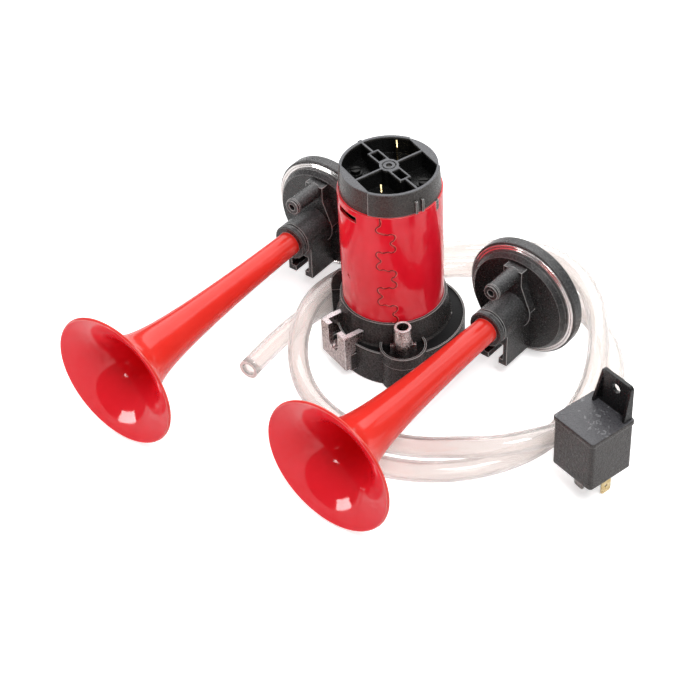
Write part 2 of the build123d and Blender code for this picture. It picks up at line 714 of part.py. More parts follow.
def motor_shaft():
    """Ground shaft from the pump rotor up to the cap's bush."""
    shaft = disc(SHAFT_R, SHAFT_LOW, SHAFT_TOP)
    return chamfer(shaft.edges().filter_by(GeomType.CIRCLE), 0.4)


def core_slots(depth_from, depth_to):
    """Winding slots round the armature."""
    slots = []
    for i in range(SLOT_COUNT):
        slot = block(depth_from, depth_to, -SLOT_WIDTH / 2, SLOT_WIDTH / 2, CORE_LOW, CORE_TOP)
        slots.append(at_azimuth(360 / SLOT_COUNT * i, slot))
    return slots


def armature_core():
    """Stack of laminations with open winding slots."""
    core = ring(CORE_R, SHAFT_R, CORE_LOW, CORE_TOP)
    for slot in core_slots(CORE_R - SLOT_DEPTH, CORE_R + 1):
        core -= slot
    return core


def armature_windings():
    """Enamelled wire: a bundle in each slot and a bulge over both ends of the stack."""
    bulge = ring(WINDING_R, SHAFT_R, CORE_LOW - WINDING_END, CORE_TOP + WINDING_END)
    bulge -= disc(WINDING_R + 1, CORE_LOW, CORE_TOP)
    body = bulge
    for slot in core_slots(CORE_R - SLOT_DEPTH, CORE_R - 0.8):
        body += slot
    return body


def commutator():
    """Copper commutator on the shaft, with a riser next to the windings."""
    low = CORE_TOP + WINDING_END
    body = ring(COMMUTATOR_R, SHAFT_R, low, COMMUTATOR_TOP)
    body += ring(COMMUTATOR_R + 1.4, SHAFT_R, low, low + 1.5)
    for i in range(SLOT_COUNT):
        cut = block(COMMUTATOR_R - 0.6, COMMUTATOR_R + 2, -0.25, 0.25, low + 1.5, COMMUTATOR_TOP)
        body -= at_azimuth(360 / SLOT_COUNT * i, cut)
    return body


def through_bolts():
    """Two long bolts from the cap down into the pump casting, between the magnets."""
    bolts = []
    for side in (0, 180):
        x, y = polar(BOLT_RING, BOLT_AZ + side)
        head = disc(BOLT_HEAD_R, BOLT_BOSS_TOP, BOLT_BOSS_TOP + BOLT_HEAD, x, y)
        driver_slot = Box(3 * BOLT_HEAD_R, BOLT_SLOT_WIDTH, 2 * BOLT_SLOT_DEPTH)
        head -= Pos(x, y, BOLT_BOSS_TOP + BOLT_HEAD) * driver_slot
        bolts.append(head + disc(BOLT_R, BOLT_LOW, BOLT_BOSS_TOP, x, y))
    return Compound(children=bolts)


# ---------------------------------------------------------------- end cap, brushes, terminals
def terminal_places():
    """Plan positions of the two terminals, opposite each other."""
    return {"terminal_back": (TERMINAL_X, TERMINAL_Y), "terminal_front": (-TERMINAL_X, -TERMINAL_Y)}


def motor_end_cap():
    """Moulded cap: rim, hub, ribs, two brush wells, two flush pads and the bolt bosses."""
    cap = cone(CAP_FOOT_R - CAP_STEP, CAP_R - CAP_STEP, CAN_TOP, CAP_TOP)
    for azimuth in (CAP_STEP_AZ, CAP_STEP_AZ + 180):
        sector = wedge(azimuth, azimuth + CAP_SIDE_SPAN, 2 * CAP_R, CAN_TOP, CAP_TOP)
        cap += cone(CAP_FOOT_R, CAP_R, CAN_TOP, CAP_TOP) & sector
    cap -= disc(CAP_R - CAP_WALL, CAP_FLOOR, CAP_TOP)
    cap -= disc(CAN_IN - SKIRT_WALL, CAN_TOP, CAP_FLOOR - CAP_FLOOR_THICK)
    cap += ring(CAN_IN, CAN_IN - SKIRT_WALL, SKIRT_LOW, CAN_TOP)
    # two small upright ribs on the side, and an ear where a rib of the inside runs out
    half = SIDE_RIB_WIDTH / 2
    rib_reach = CAP_FOOT_R + SIDE_RIB_PROUD
    small_rib = block(CAP_R - 1, rib_reach, -half, half, CAN_TOP, CAN_TOP + SIDE_RIB_HEIGHT)
    for azimuth in SIDE_RIB_AZ:
        cap += at_azimuth(azimuth, small_rib)
    half = CAP_EAR_WIDTH / 2
    ear = block(CAP_R - 1, CAP_R + SIDE_RIB_PROUD, -half, half, CAP_TOP - CAP_EAR_DROP, CAP_TOP)
    cap += at_azimuth(CAP_RIB_AZ + 90, ear)
    # inside of the rim: hub, ribs, brush wells and pads
    inside = disc(CAP_R - CAP_STEP - 0.2, CAP_FLOOR - 0.5, CAP_TOP)
    details = disc(HUB_R, CAP_FLOOR - 0.5, CAP_TOP)
    for azimuth in (CAP_RIB_AZ, CAP_RIB_AZ + 90):
        rib = block(-CAP_R, CAP_R, -CAP_RIB / 2, CAP_RIB / 2, CAP_FLOOR - 0.5, CAP_TOP)
        details += at_azimuth(azimuth, rib)
    half = BRUSH_WELL_WIDTH / 2
    well = block(0, BRUSH_WELL_END, -half, half, CAP_FLOOR - 0.5, CAP_TOP)
    bore_half = BRUSH_WELL_WIDTH / 2 - BRUSH_WELL_WALL
    bore_end = BRUSH_WELL_END - BRUSH_WELL_WALL
    bore = block(HUB_R + 0.4, bore_end, -bore_half, bore_half, CAP_FLOOR, CAP_TOP)
    for azimuth in (CAP_RIB_AZ + 90, CAP_RIB_AZ - 90):
        details += at_azimuth(azimuth, well)
        details -= at_azimuth(azimuth, bore)
    for azimuth in (PAD_AZ, PAD_AZ + 180):
        pad = block(PAD_CHORD, CAP_R, -CAP_R, CAP_R, CAP_FLOOR - 0.5, CAP_TOP)
        details += at_azimuth(azimuth, pad)
    cap += details & inside
    # hub rings on top
    cap -= ring(3.7, 3.1, CAP_TOP - 0.5, CAP_TOP)
    cap -= disc(1.6, CAP_TOP - 0.9, CAP_TOP)
    # bolt bosses and holes
    for side in (0, 180):
        x, y = polar(BOLT_RING, BOLT_AZ + side)
        cap += disc(BOLT_BOSS_R, CAP_FLOOR - 0.5, BOLT_BOSS_TOP, x, y)
        cap -= disc(BOLT_R, CAP_FLOOR - CAP_FLOOR_THICK, BOLT_BOSS_TOP, x, y)
    # seat of the upper bush, tab into the can's notch and slits for the terminals
    cap += disc(BUSH_R + 1.6, UPPER_BUSH_LOW, CAP_FLOOR - 1)
    cap -= disc(BUSH_R, UPPER_BUSH_LOW, CAP_FLOOR - 1)
    half = TAB_WIDTH / 2
    tab = block(CAN_IN - SKIRT_WALL, CAN_R, -half, half, TAB_LOW, CAN_TOP)
    tab += block(CAN_IN - SKIRT_WALL, CAP_FOOT_R - CAP_STEP, -half, half, CAN_TOP - 1, CAN_TOP + 1)
    cap += at_azimuth(TAB_AZ, tab)
    for x, y in terminal_places().values():
        half = TERMINAL_THICK / 2
        width = TERMINAL_WIDTH / 2
        cap -= block(x - half, x + half, y - width, y + width, SKIRT_LOW, CAP_FLOOR)
    return cap


def brush_card():
    """Laminate card under the cap that carries the brush boxes."""
    card = ring(CAN_IN, BUSH_R + 1.6 + RUNNING_GAP, CARD_LOW, CARD_TOP)
    for side in (0, 180):
        x, y = polar(BOLT_RING, BOLT_AZ + side)
        card -= disc(BOLT_R + 0.3, CARD_LOW, CARD_TOP, x, y)
    tab = block(CAN_IN - SKIRT_WALL, CAN_R, -TAB_WIDTH / 2, TAB_WIDTH / 2, TAB_LOW, CAN_TOP)
    return card - at_azimuth(TAB_AZ, tab)


def brush_boxes():
    """Brass boxes that guide the brushes towards the commutator."""
    half = BRUSH_WIDTH / 2 + BRUSH_BOX_WALL
    low = BRUSH_MID - BRUSH_HEIGHT / 2 - BRUSH_BOX_WALL
    outer = block(BRUSH_BOX_START, BRUSH_BOX_END, -half, half, low, CARD_LOW)
    width = BRUSH_WIDTH / 2
    height = BRUSH_HEIGHT / 2
    end = BRUSH_BOX_END - BRUSH_BOX_WALL
    outer -= block(BRUSH_BOX_START - 1, end, -width, width, BRUSH_MID - height, BRUSH_MID + height)
    return Compound(children=[at_azimuth(BRUSH_AZ, outer), at_azimuth(BRUSH_AZ + 180, outer)])


def brush(azimuth):
    """Carbon brush in its box, facing the commutator."""
    width = BRUSH_WIDTH / 2
    height = BRUSH_HEIGHT / 2
    end = BRUSH_START + BRUSH_LENGTH
    carbon = block(BRUSH_START, end, -width, width, BRUSH_MID - height, BRUSH_MID + height)
    return at_azimuth(azimuth, carbon)


def brush_springs():
    """Folded strips that press on the outer ends of the brushes."""
    start = BRUSH_START + BRUSH_LENGTH
    end = BRUSH_BOX_END - BRUSH_BOX_WALL
    folds = 4
    step = (end - start - SPRING_STRIP) / folds
    width = BRUSH_WIDTH / 2 - 0.4
    height = BRUSH_HEIGHT / 2 - 0.4
    low = BRUSH_MID - height
    high = BRUSH_MID + height
    spring = block(start, start + SPRING_STRIP, -width, width, low, high)
    for i in range(folds):
        side = 1 if i % 2 else -1
        x = start + step * i
        edges = sorted((side * width, side * (width - SPRING_STRIP)))
        spring += block(x, x + step + SPRING_STRIP, edges[0], edges[1], low, high)
        x += step
        spring += block(x, x + SPRING_STRIP, -width, width, low, high)
    return Compound(children=[at_azimuth(BRUSH_AZ, spring), at_azimuth(BRUSH_AZ + 180, spring)])


def terminal(x, y):
    """Blade terminal standing on the card and up through the cap's floor."""
    half = TERMINAL_THICK / 2
    width = TERMINAL_WIDTH / 2
    blade = block(x - half, x + half, y - width, y + width, CARD_TOP, TERMINAL_TOP)
    tip = blade.edges().filter_by(Axis.X).group_by(Axis.Z)[-1]
    return chamfer(tip, 1.2)


# ---------------------------------------------------------------- trumpets
def bell_outside(s):
    """Outer radius of a trumpet at a distance from the plane of its rim."""
    return THROAT_R + TAPER_R * exp(-s / TAPER_LENGTH) + FLARE_R * exp(-(s - LIP_DEPTH) / FLARE_LENGTH)


def bell_inside(s):
    """Inner radius of a trumpet: the same curve, one wall in."""
    flare = BELL_R - LIP_INSET - THROAT_R + TRUMPET_WALL - TAPER_R
    return THROAT_R - TRUMPET_WALL + TAPER_R * exp(-s / TAPER_LENGTH) + flare * exp(-s / FLARE_LENGTH)


def stations(length):
    """Distances along a trumpet that carry its curve, close together where it flares."""
    return [3.5, 7, 12, 20, 34, 60, 100, length]


def trumpet(length):
    """One-piece trumpet: flared bell, tapered tube and a plain end that enters the horn body."""
    socket = length - HUB_LENGTH
    rear = socket + SOCKET_DEPTH
    end_r = bell_outside(socket)
    end_in = bell_inside(socket)
    outside = [(BELL_R, LIP_DEPTH)] + [(bell_outside(s), s) for s in stations(socket)]
    rim = (BELL_R - LIP_INSET, 0.0)
    inside = [rim] + [(bell_inside(s), s) for s in stations(socket)]
    outline = (
        Spline(*outside)
        + Polyline((end_r, socket), (end_r, rear), (end_in, rear), (end_in, socket))
        + Spline(*inside)
        + TangentArc((BELL_R, LIP_DEPTH), rim, tangent=(0, -1))
    )
    return revolve(Plane.XZ * make_face(outline), Axis.Z)


def pad_outline():
    """Plan of the pad on the disc: a block at the inlet that narrows and wraps the hub."""
    half = PAD_WIDTH / 2
    wrap = HORN_HUB_R + 1.8
    web = make_face(Polyline((-half, PAD_LOW), (-wrap, 2), (wrap, 2), (half, PAD_LOW), close=True))
    head = Pos(0, (PAD_LOW + PAD_TOP) / 2) * Rectangle(PAD_WIDTH, PAD_TOP - PAD_LOW)
    return Circle(wrap) + web + head


def foot(length):
    """Slotted foot under the hub: a channel with lips, open at its front end."""
    start = length - FOOT_START
    end = length - DISC_FRONT
    solid = block(-FOOT_HALF, FOOT_HALF, -FOOT_DROP, 0, start, end + 1)
    roof = -(HORN_HUB_R + FOOT_WALL)
    half = FOOT_HALF - FOOT_WALL
    solid -= block(-half, half, -FOOT_DROP + FOOT_LIP, roof, start - 1, end)
    return solid - block(-FOOT_SLOT / 2, FOOT_SLOT / 2, -FOOT_DROP, roof, start - 1, end)


def horn_body(length):
    """Moulded body: hub, disc, inlet spigot, foot, air chamber and the nozzle at the diaphragm."""
    front = length - DISC_FRONT
    rear = length - RING_THICK
    hub_front = length - HUB_LENGTH
    disc_profile = Polyline(
        (0, front),
        (DISC_FRONT_R, front),
        (DISC_R, length - DISC_SHOULDER),
        (DISC_R, rear),
        (0, rear),
        close=True,
    )
    body = revolve(Plane.XZ * make_face(disc_profile), Axis.Z)
    hub = disc(HORN_HUB_R, hub_front, front + 1)
    hub = chamfer(hub.edges().filter_by(GeomType.CIRCLE).group_by(Axis.Z)[0], 0.6)
    hub -= ring(HORN_HUB_R + 1, HORN_HUB_R - 0.6, hub_front + HUB_GROOVE, hub_front + HUB_GROOVE + 1.2)
    body += hub
    body += Pos(0, 0, front - PAD_THICK) * extrude(pad_outline(), PAD_THICK + 1)
    body += foot(length)
    tip = length - SPIGOT_TIP
    root = front - PAD_THICK + 1
    spigot_place = Pos(0, SPIGOT_W, (tip + root) / 2) * Rot(180, 0, 0)
    body += spigot_place * Cone(SPIGOT_ROOT_R, SPIGOT_TIP_R, root - tip)
    body += disc(SPIGOT_TIP_R + 0.45, tip + 1.2, tip + 2.4, 0, SPIGOT_W)
    # trumpet socket, nozzle, annular air chamber and the air's way in
    socket = hub_front + SOCKET_DEPTH
    body -= disc(bell_outside(hub_front), hub_front, socket)
    body -= disc(bell_inside(hub_front), socket, rear)
    body -= ring(CHAMBER_OUT_R, NOZZLE_R, length - DISC_SHOULDER, rear)
    body -= disc(SPIGOT_BORE_R, tip, length - DISC_SHOULDER, 0, SPIGOT_W)
    return body


def clamp_ring(length):
    """Flat metal ring, seen as a bright line between the body and the rear cover."""
    return ring(RING_R, DIAPHRAGM_R - 2.6, length - RING_THICK, length)


def diaphragm(length):
    """Thin steel diaphragm held between the ring and the rear cover."""
    return disc(DIAPHRAGM_R, length, length + DIAPHRAGM_THICK)


def rear_cover(length):
    """Cup that closes the horn behind the diaphragm."""
    rear = length + COVER_DEPTH
    cup = disc(COVER_R, length, rear)
    cup = fillet(cup.edges().filter_by(GeomType.CIRCLE), EDGE_ROUND)
    cup -= disc(DIAPHRAGM_R, length, length + DIAPHRAGM_THICK)
    cup -= disc(CHAMBER_OUT_R, length, rear - COVER_WALL)
    return cup - ring(21.0, 20.0, rear - 0.6, rear)


def lying(x, y, azimuth, length):
    """Place of a trumpet that rests on its bell's rim and on its cover's rear edge."""
    run = length + COVER_DEPTH - EDGE_ROUND - LIP_DEPTH
    fall = atan((BELL_R - COVER_R) / run)
    height = BELL_R * cos(fall) + LIP_DEPTH * sin(fall)
    along = (cos(fall) * cos(radians(azimuth)), cos(fall) * sin(radians(azimuth)), -sin(fall))
    across = (sin(radians(azimuth)), -cos(radians(azimuth)), 0)
    sideways = tuple(-value for value in across)
    plane = Plane(origin=(x, y, height), x_dir=sideways, z_dir=along)
    return plane.location


def trumpet_set(name, x, y, azimuth, length):
    """The pieces of one trumpet, by node name."""
    place = lying(x, y, azimuth, length)
    return {
        f"{name}_trumpet": place * trumpet(length),
        f"{name}_horn_body": place * horn_body(length),
        f"{name}_clamp_ring": place * clamp_ring(length),
        f"{name}_diaphragm": place * diaphragm(length),
        f"{name}_rear_cover": place * rear_cover(length),
    }


# ---------------------------------------------------------------- relay
def relay_box(side, low, high, corner):
    """Square prism with rounded upright corners."""
    prism = Pos(0, 0, (low + high) / 2) * Box(side, side, high - low)
    return fillet(prism.edges().filter_by(Axis.Z), corner)


def relay_tab():
    """Fixing tab that stands on the lid, with a hole and a tapered gusset down each edge."""
    outer = RELAY_SIDE / 2 - TAB_SET_BACK
    inner = outer - TAB_THICK
    foot_z = RELAY_TOP - 1
    face = Polyline(
        (TAB_NEAR, foot_z),
        (TAB_NEAR - TAB_NARROW, TAB_TOP),
        (TAB_FAR, TAB_TOP),
        (TAB_FAR, foot_z),
        close=True,
    )
    plate = Pos(inner, 0, 0) * extrude(Plane.YZ * make_face(face), TAB_THICK)
    plate = fillet(plate.edges().filter_by(Axis.X).group_by(Axis.Z)[-1], TAB_CORNER)
    hole = Pos(outer, TAB_HOLE_Y, TAB_HOLE_Z) * Rot(0, 90, 0) * Cylinder(TAB_HOLE_R, 4 * TAB_THICK)
    plate -= hole
    side_view = Polyline((inner + 0.5, foot_z), (inner - GUSSET_DEPTH, foot_z),
                         (inner - GUSSET_DEPTH, RELAY_TOP + 1.5), (inner, TAB_TOP - TAB_CORNER),
                         (inner + 0.5, TAB_TOP - TAB_CORNER), close=True)
    gusset = extrude(Plane.XZ * make_face(side_view), GUSSET_THICK)
    far = Pos(0, TAB_FAR + GUSSET_THICK, 0) * gusset
    lean = degrees(atan(TAB_NARROW / (TAB_TOP - foot_z)))
    near = Pos(0, TAB_NEAR, foot_z) * Rot(lean, 0, 0) * Pos(0, 0, -foot_z) * gusset
    return plate + far + near


def relay_cover():
    """Moulded relay cover with its tab, open below."""
    cover = relay_box(RELAY_SIDE, RELAY_LOW, RELAY_TOP - RELAY_LID, RELAY_CORNER)
    lid = relay_box(RELAY_SIDE + 2 * RELAY_LID_STEP, RELAY_TOP - RELAY_LID, RELAY_TOP, RELAY_CORNER)
    lid = fillet(lid.edges().group_by(Axis.Z)[-1], 0.8)
    cover += lid
    cover -= relay_box(RELAY_SIDE - 2 * RELAY_WALL, RELAY_LOW, RELAY_TOP - RELAY_LID, RELAY_CORNER - 1)
    return cover + relay_tab()


def blade_plan():
    """The four blades: centre and size in plan, by node name."""
    wide = BLADE_WIDTH
    thin = BLADE_THICK
    return {
        "relay_blade_contact": (0.0, BLADE_CONTACT_Y, wide, thin),
        "relay_blade_common": (0.0, BLADE_COMMON_Y, wide, thin),
        "relay_blade_coil_left": (-BLADE_COIL_X, 0.0, thin, wide),
        "relay_blade_coil_right": (BLADE_COIL_X, 0.0, thin, wide),
    }


def relay_blade(x, y, wide_x, wide_y):
    """Brass blade through the relay's base, with a chamfered tip and a hole."""
    top = RELAY_LOW + RELAY_BASE + BLADE_INSIDE if wide_x < wide_y else RELAY_LOW + RELAY_BASE
    blade = block(x - wide_x / 2, x + wide_x / 2, y - wide_y / 2, y + wide_y / 2, 0, top)
    across = Axis.X if wide_x < wide_y else Axis.Y
    blade = chamfer(blade.edges().filter_by(across).group_by(Axis.Z)[0], 1.0)
    turn = Rot(0, 90, 0) if wide_x < wide_y else Rot(90, 0, 0)
    return blade - Pos(x, y, BLADE_HOLE_Z) * turn * Cylinder(BLADE_HOLE_R, 4)


def relay_base():
    """Base plate that holds the blades and carries the coil."""
    base = relay_box(RELAY_SIDE - 2 * RELAY_WALL, RELAY_LOW, RELAY_LOW + RELAY_BASE, RELAY_CORNER - 1)
    for x, y, wide_x, wide_y in blade_plan().values():
        base -= block(x - wide_x / 2, x + wide_x / 2, y - wide_y / 2, y + wide_y / 2, 0, RELAY_TOP)
    return base


def relay_yoke():
    """Steel L: a foot under the coil, standing on the base, and a leg up to the armature."""
    half = YOKE_WIDTH / 2
    leg = block(YOKE_X, YOKE_X + YOKE_THICK, -half, half, YOKE_LOW, YOKE_TOP)
    arm = block(-CORE_PIN_R - 1, YOKE_X + 0.5, -half + 1, half - 1, YOKE_LOW, COIL_LOW)
    arm -= disc(CORE_PIN_R, 0, RELAY_TOP)
    near = CORE_PIN_R + 0.2
    far = near + 1
    left = block(-CORE_PIN_R / 2, CORE_PIN_R / 2, -far, -near, RELAY_DECK, COIL_LOW)
    right = block(-CORE_PIN_R / 2, CORE_PIN_R / 2, near, far, RELAY_DECK, COIL_LOW)
    return leg + arm + left + right


def relay_core():
    """Round iron core with a wider head under the armature."""
    core = disc(CORE_PIN_R, YOKE_LOW, CORE_FACE)
    return core + disc(CORE_HEAD_R, CORE_FACE - CORE_HEAD, CORE_FACE)


def relay_bobbin():
    """Plastic bobbin on the core."""
    top = CORE_FACE - CORE_HEAD
    body = ring(CORE_PIN_R + BOBBIN_TUBE, CORE_PIN_R, COIL_LOW, top)
    body += ring(BOBBIN_FLANGE_R, CORE_PIN_R, COIL_LOW, COIL_LOW + BOBBIN_FLANGE)
    return body + ring(BOBBIN_FLANGE_R, CORE_PIN_R, top - BOBBIN_FLANGE, top)


def relay_winding():
    """Coil of enamelled wire on the bobbin."""
    top = CORE_FACE - CORE_HEAD
    return ring(COIL_R, CORE_PIN_R + BOBBIN_TUBE, COIL_LOW + BOBBIN_FLANGE, top - BOBBIN_FLANGE)


def relay_armature():
    """Moving plate over the core, with its contact at the free end."""
    low = YOKE_TOP + RUNNING_GAP
    plate = block(CONTACT_X - 1.8, YOKE_X + YOKE_THICK, -4, 4, low, low + ARMATURE_THICK)
    return plate + disc(CONTACT_R, low - CONTACT_HEIGHT + 0.4, low, CONTACT_X)


def relay_contact():
    """Fixed contact on a post, below the armature's free end."""
    top = YOKE_TOP + RUNNING_GAP - CONTACT_HEIGHT + 0.4 - CONTACT_GAP
    post = block(CONTACT_X - 1.0, CONTACT_X - 0.2, -1.6, 1.6, RELAY_DECK, top - CONTACT_HEIGHT)
    seat = top - CONTACT_HEIGHT
    shelf = block(CONTACT_X - 1.6, CONTACT_X + 1.6, -1.6, 1.6, seat - 0.8, seat)
    return post + shelf + disc(CONTACT_R, top - CONTACT_HEIGHT, top, CONTACT_X)


def relay_spring():
    """Return spring: a strip behind the yoke's leg that reaches up to the armature."""
    x = YOKE_X + YOKE_THICK
    low = YOKE_TOP + RUNNING_GAP
    strip = block(x, x + 0.5, -3, 3, YOKE_TOP - 12, low + ARMATURE_THICK - 0.4)
    return strip + block(x, x + 0.9, -1, 1, YOKE_TOP - 11, YOKE_TOP - 9)


def relay_set():
    """The relay's pieces, by node name."""
    pieces = {
        "relay_cover": relay_cover(),
        "relay_base": relay_base(),
        "relay_yoke": relay_yoke(),
        "relay_core": relay_core(),
        "relay_bobbin": relay_bobbin(),
        "relay_winding": relay_winding(),
        "relay_armature": relay_armature(),
        "relay_contact": relay_contact(),
        "relay_spring": relay_spring(),
    }
    for name, plan in blade_plan().items():
        pieces[name] = relay_blade(*plan)
    place = Pos(RELAY_X, RELAY_Y, 0) * Rot(0, 0, RELAY_TURN)
    return {name: place * piece for name, piece in pieces.items()}


# ---------------------------------------------------------------- hose
def air_hose():
    """Clear hose along its route: straight runs joined by arcs as large as the runs allow."""
    points = [Vector(*point) for point in HOSE_ROUTE]
    runs = [(b - a) for a, b in zip(points, points[1:])]
    radii = []
    for before, after in zip(runs, runs[1:]):
        turn = radians(before.get_angle(after))
        radii.append(BEND_SHARE * min(before.length, after.length) / tan(turn / 2))
    path = FilletPolyline(*points, radius=radii)
    start = Plane(origin=path @ 0, z_dir=path % 0)
    section = start * (Circle(HOSE_R) - Circle(HOSE_BORE_R))
    hose = sweep(section, path)
    ideal = pi * (HOSE_R**2 - HOSE_BORE_R**2) * path.length
    print(f"hose radii from {min(radii):.0f} to {max(radii):.0f} mm")
    print(f"hose length {path.length:.0f} mm, volume {hose.volume:.0f}, section x length {ideal:.0f}")
    return hose


# ---------------------------------------------------------------- all pieces
def all_pieces():
    """Every sub-part by node name."""
    places = terminal_places()
    pieces = {
        "base_housing": base_housing(),
        "base_cover": base_cover(),
        "intake_filter": intake_filter(),
        "pump_casting": pump_casting(),
        "pump_cover_plate": pump_cover_plate(),
        "pump_cover_screws": pump_cover_screws(),
        "pump_rotor": pump_rotor(),
        "pump_vanes": pump_vanes(),
        "motor_can": motor_can(),
        "motor_bearing_plate": motor_bearing_plate(),
        "lower_bush": bush(CAN_LOW, LOWER_BUSH_TOP),
        "upper_bush": bush(UPPER_BUSH_LOW, CAP_FLOOR - 1),
        "magnet_left": magnet(MAGNET_AZ + 180),
        "magnet_right": magnet(MAGNET_AZ),
        "magnet_clips": magnet_clips(),
        "motor_shaft": motor_shaft(),
        "armature_core": armature_core(),
        "armature_windings": armature_windings(),
        "commutator": commutator(),
        "through_bolts": through_bolts(),
        "motor_end_cap": motor_end_cap(),
        "brush_card": brush_card(),
        "brush_boxes": brush_boxes(),
        "brush_back": brush(BRUSH_AZ),
        "brush_front": brush(BRUSH_AZ + 180),
        "brush_springs": brush_springs(),
        "terminal_back": terminal(*places["terminal_back"]),
        "terminal_front": terminal(*places["terminal_front"]),
        "air_hose": air_hose(),
    }
    pieces.update(trumpet_set("long", LONG_X, LONG_Y, LONG_AZ, LONG_LENGTH))
    pieces.update(trumpet_set("short", SHORT_X, SHORT_Y, SHORT_AZ, SHORT_LENGTH))
    pieces.update(relay_set())
    return pieces


os.makedirs("parts", exist_ok=True)
for node, piece in all_pieces().items():
    export_step(piece, f"parts/{node}.step")
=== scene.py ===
# %% [markdown]
# # A compressor air horn outfit for a vehicle
#
# An upright electric compressor, a long and a short trumpet, a loose coil of clear hose and a
# relay lie as a set on a white table. The solids come from a CAD model in the same place and
# size, so this lesson is about what CAD leaves plain: paint, moulded grain, cast metal, clear
# vinyl, softened edges, and the few pieces that are better made again with Blender's own tools.

import json
import math

import bpy
from mathutils import Matrix, Vector


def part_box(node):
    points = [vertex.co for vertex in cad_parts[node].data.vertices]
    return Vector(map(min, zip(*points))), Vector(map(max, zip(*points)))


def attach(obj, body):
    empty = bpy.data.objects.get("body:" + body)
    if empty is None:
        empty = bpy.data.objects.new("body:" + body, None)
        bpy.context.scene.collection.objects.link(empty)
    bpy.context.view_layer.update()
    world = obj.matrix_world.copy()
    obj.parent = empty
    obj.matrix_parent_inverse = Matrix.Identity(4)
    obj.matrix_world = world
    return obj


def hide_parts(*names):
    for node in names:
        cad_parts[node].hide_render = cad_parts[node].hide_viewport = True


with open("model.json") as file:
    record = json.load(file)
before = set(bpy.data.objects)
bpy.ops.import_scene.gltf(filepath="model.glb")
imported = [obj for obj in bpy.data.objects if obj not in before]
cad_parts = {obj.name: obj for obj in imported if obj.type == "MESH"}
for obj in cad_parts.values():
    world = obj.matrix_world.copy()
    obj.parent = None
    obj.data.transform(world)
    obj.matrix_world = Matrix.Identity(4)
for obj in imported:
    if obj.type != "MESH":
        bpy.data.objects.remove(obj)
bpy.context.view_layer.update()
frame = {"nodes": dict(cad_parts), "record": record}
nodes = frame["nodes"]
print("pieces from CAD:", len(nodes))

# %% [markdown]
# ## Helpers for a scene in millimetres
#
# The frame is in metres, but the outfit's sizes are easier to read in millimetres, so lengths
# are written as a number times MM. Every operator works on what is selected, so each new piece
# starts from an empty selection. Horns and seam are placed by an azimuth round the upright axis.

# %% Helpers
MM = 0.001
STATIC = "outfit"


def select_only(obj):
    """Leave one object selected and active."""
    bpy.ops.object.select_all(action="DESELECT")
    obj.select_set(True)
    bpy.context.view_layer.objects.active = obj


def direction(azimuth):
    """Level unit vector at an azimuth in degrees, counted from +X towards +Y."""
    return Vector((math.cos(math.radians(azimuth)), math.sin(math.radians(azimuth)), 0))


# %% [markdown]
# ## Camera
#
# The set is seen from in front and above: the camera looks along +Y, tips down by 42 degrees
# and rolls by a few degrees. It stands far away with a long lens, so that the two trumpets keep
# their true proportions.

# %% Camera
CAMERA_PLACE = Vector((-25.2, -766.9, 686.2)) * MM
CAMERA_TIP = 47.89
CAMERA_ROLL = -3.30
CAMERA_LENS = 96.17
CAMERA_SENSOR = 36

camera_data = bpy.data.cameras.new("camera")
camera_data.lens = CAMERA_LENS
camera_data.sensor_width = CAMERA_SENSOR
camera = bpy.data.objects.new("camera", camera_data)
bpy.context.scene.collection.objects.link(camera)
tip = Matrix.Rotation(math.radians(CAMERA_TIP), 4, "X")
roll = Matrix.Rotation(math.radians(CAMERA_ROLL), 4, "Z")
camera.matrix_world = Matrix.Translation(CAMERA_PLACE) @ tip @ roll
bpy.context.scene.camera = camera
bpy.context.scene.view_settings.view_transform = "Standard"
print("camera at", tuple(round(value, 3) for value in camera.location))

# %% [markdown]
# ## White table
#
# A set like this is shown on white ground that still has a soft contact shadow. The table is a
# plain matt plane, nearly white, a hair below the set so that the two never flicker into each
# other.

# %% Table
TABLE_SIDE = 3.2
TABLE_DROP = 0.0004

bpy.ops.object.select_all(action="DESELECT")
bpy.ops.mesh.primitive_plane_add(size=TABLE_SIDE, location=(0, 0, -TABLE_DROP))
table = bpy.context.object
table.name = "table"
print("table", TABLE_SIDE, "m wide")

# %% [markdown]
# ## Glow of the table
#
# For rays that come straight from the camera, or by way of a mirror or a clear piece, the table
# glows a little as well, which lifts the open ground to white and leaves the shadow. The glow
# lights nothing, because no other ray sees it. The helper joins two values by a Math node, and
# several finishes below use it for their masks.

# %% Table material
TABLE_WHITE = (0.88, 0.88, 0.88, 1)
TABLE_GLOW = {"Is Camera Ray": 0.60, "Is Glossy Ray": 0.06, "Is Transmission Ray": 0.12}


def combined(tree, first, second, operation):
    """Socket that joins two values, or a value and a number, by a Math operation."""
    join = tree.nodes.new("ShaderNodeMath")
    join.operation = operation
    for socket, value in zip(join.inputs, (first, second)):
        if isinstance(value, float):
            socket.default_value = value
        else:
            tree.links.new(value, socket)
    return join.outputs[0]


table_material = bpy.data.materials.new("white_table")
table_material.use_nodes = True
tree = table_material.node_tree
tree.nodes.clear()
output = tree.nodes.new("ShaderNodeOutputMaterial")
matt = tree.nodes.new("ShaderNodeBsdfDiffuse")
matt.inputs["Color"].default_value = TABLE_WHITE
glow = tree.nodes.new("ShaderNodeEmission")
both = tree.nodes.new("ShaderNodeAddShader")
path = tree.nodes.new("ShaderNodeLightPath")
strength = 0.0
for ray, lift in TABLE_GLOW.items():
    seen = combined(tree, path.outputs[ray], lift, "MULTIPLY")
    strength = combined(tree, seen, strength, "MAXIMUM")
tree.links.new(strength, glow.inputs["Strength"])
tree.links.new(matt.outputs[0], both.inputs[0])
tree.links.new(glow.outputs[0], both.inputs[1])
tree.links.new(both.outputs[0], output.inputs["Surface"])
table.data.materials.append(table_material)
print("table glow:", TABLE_GLOW)

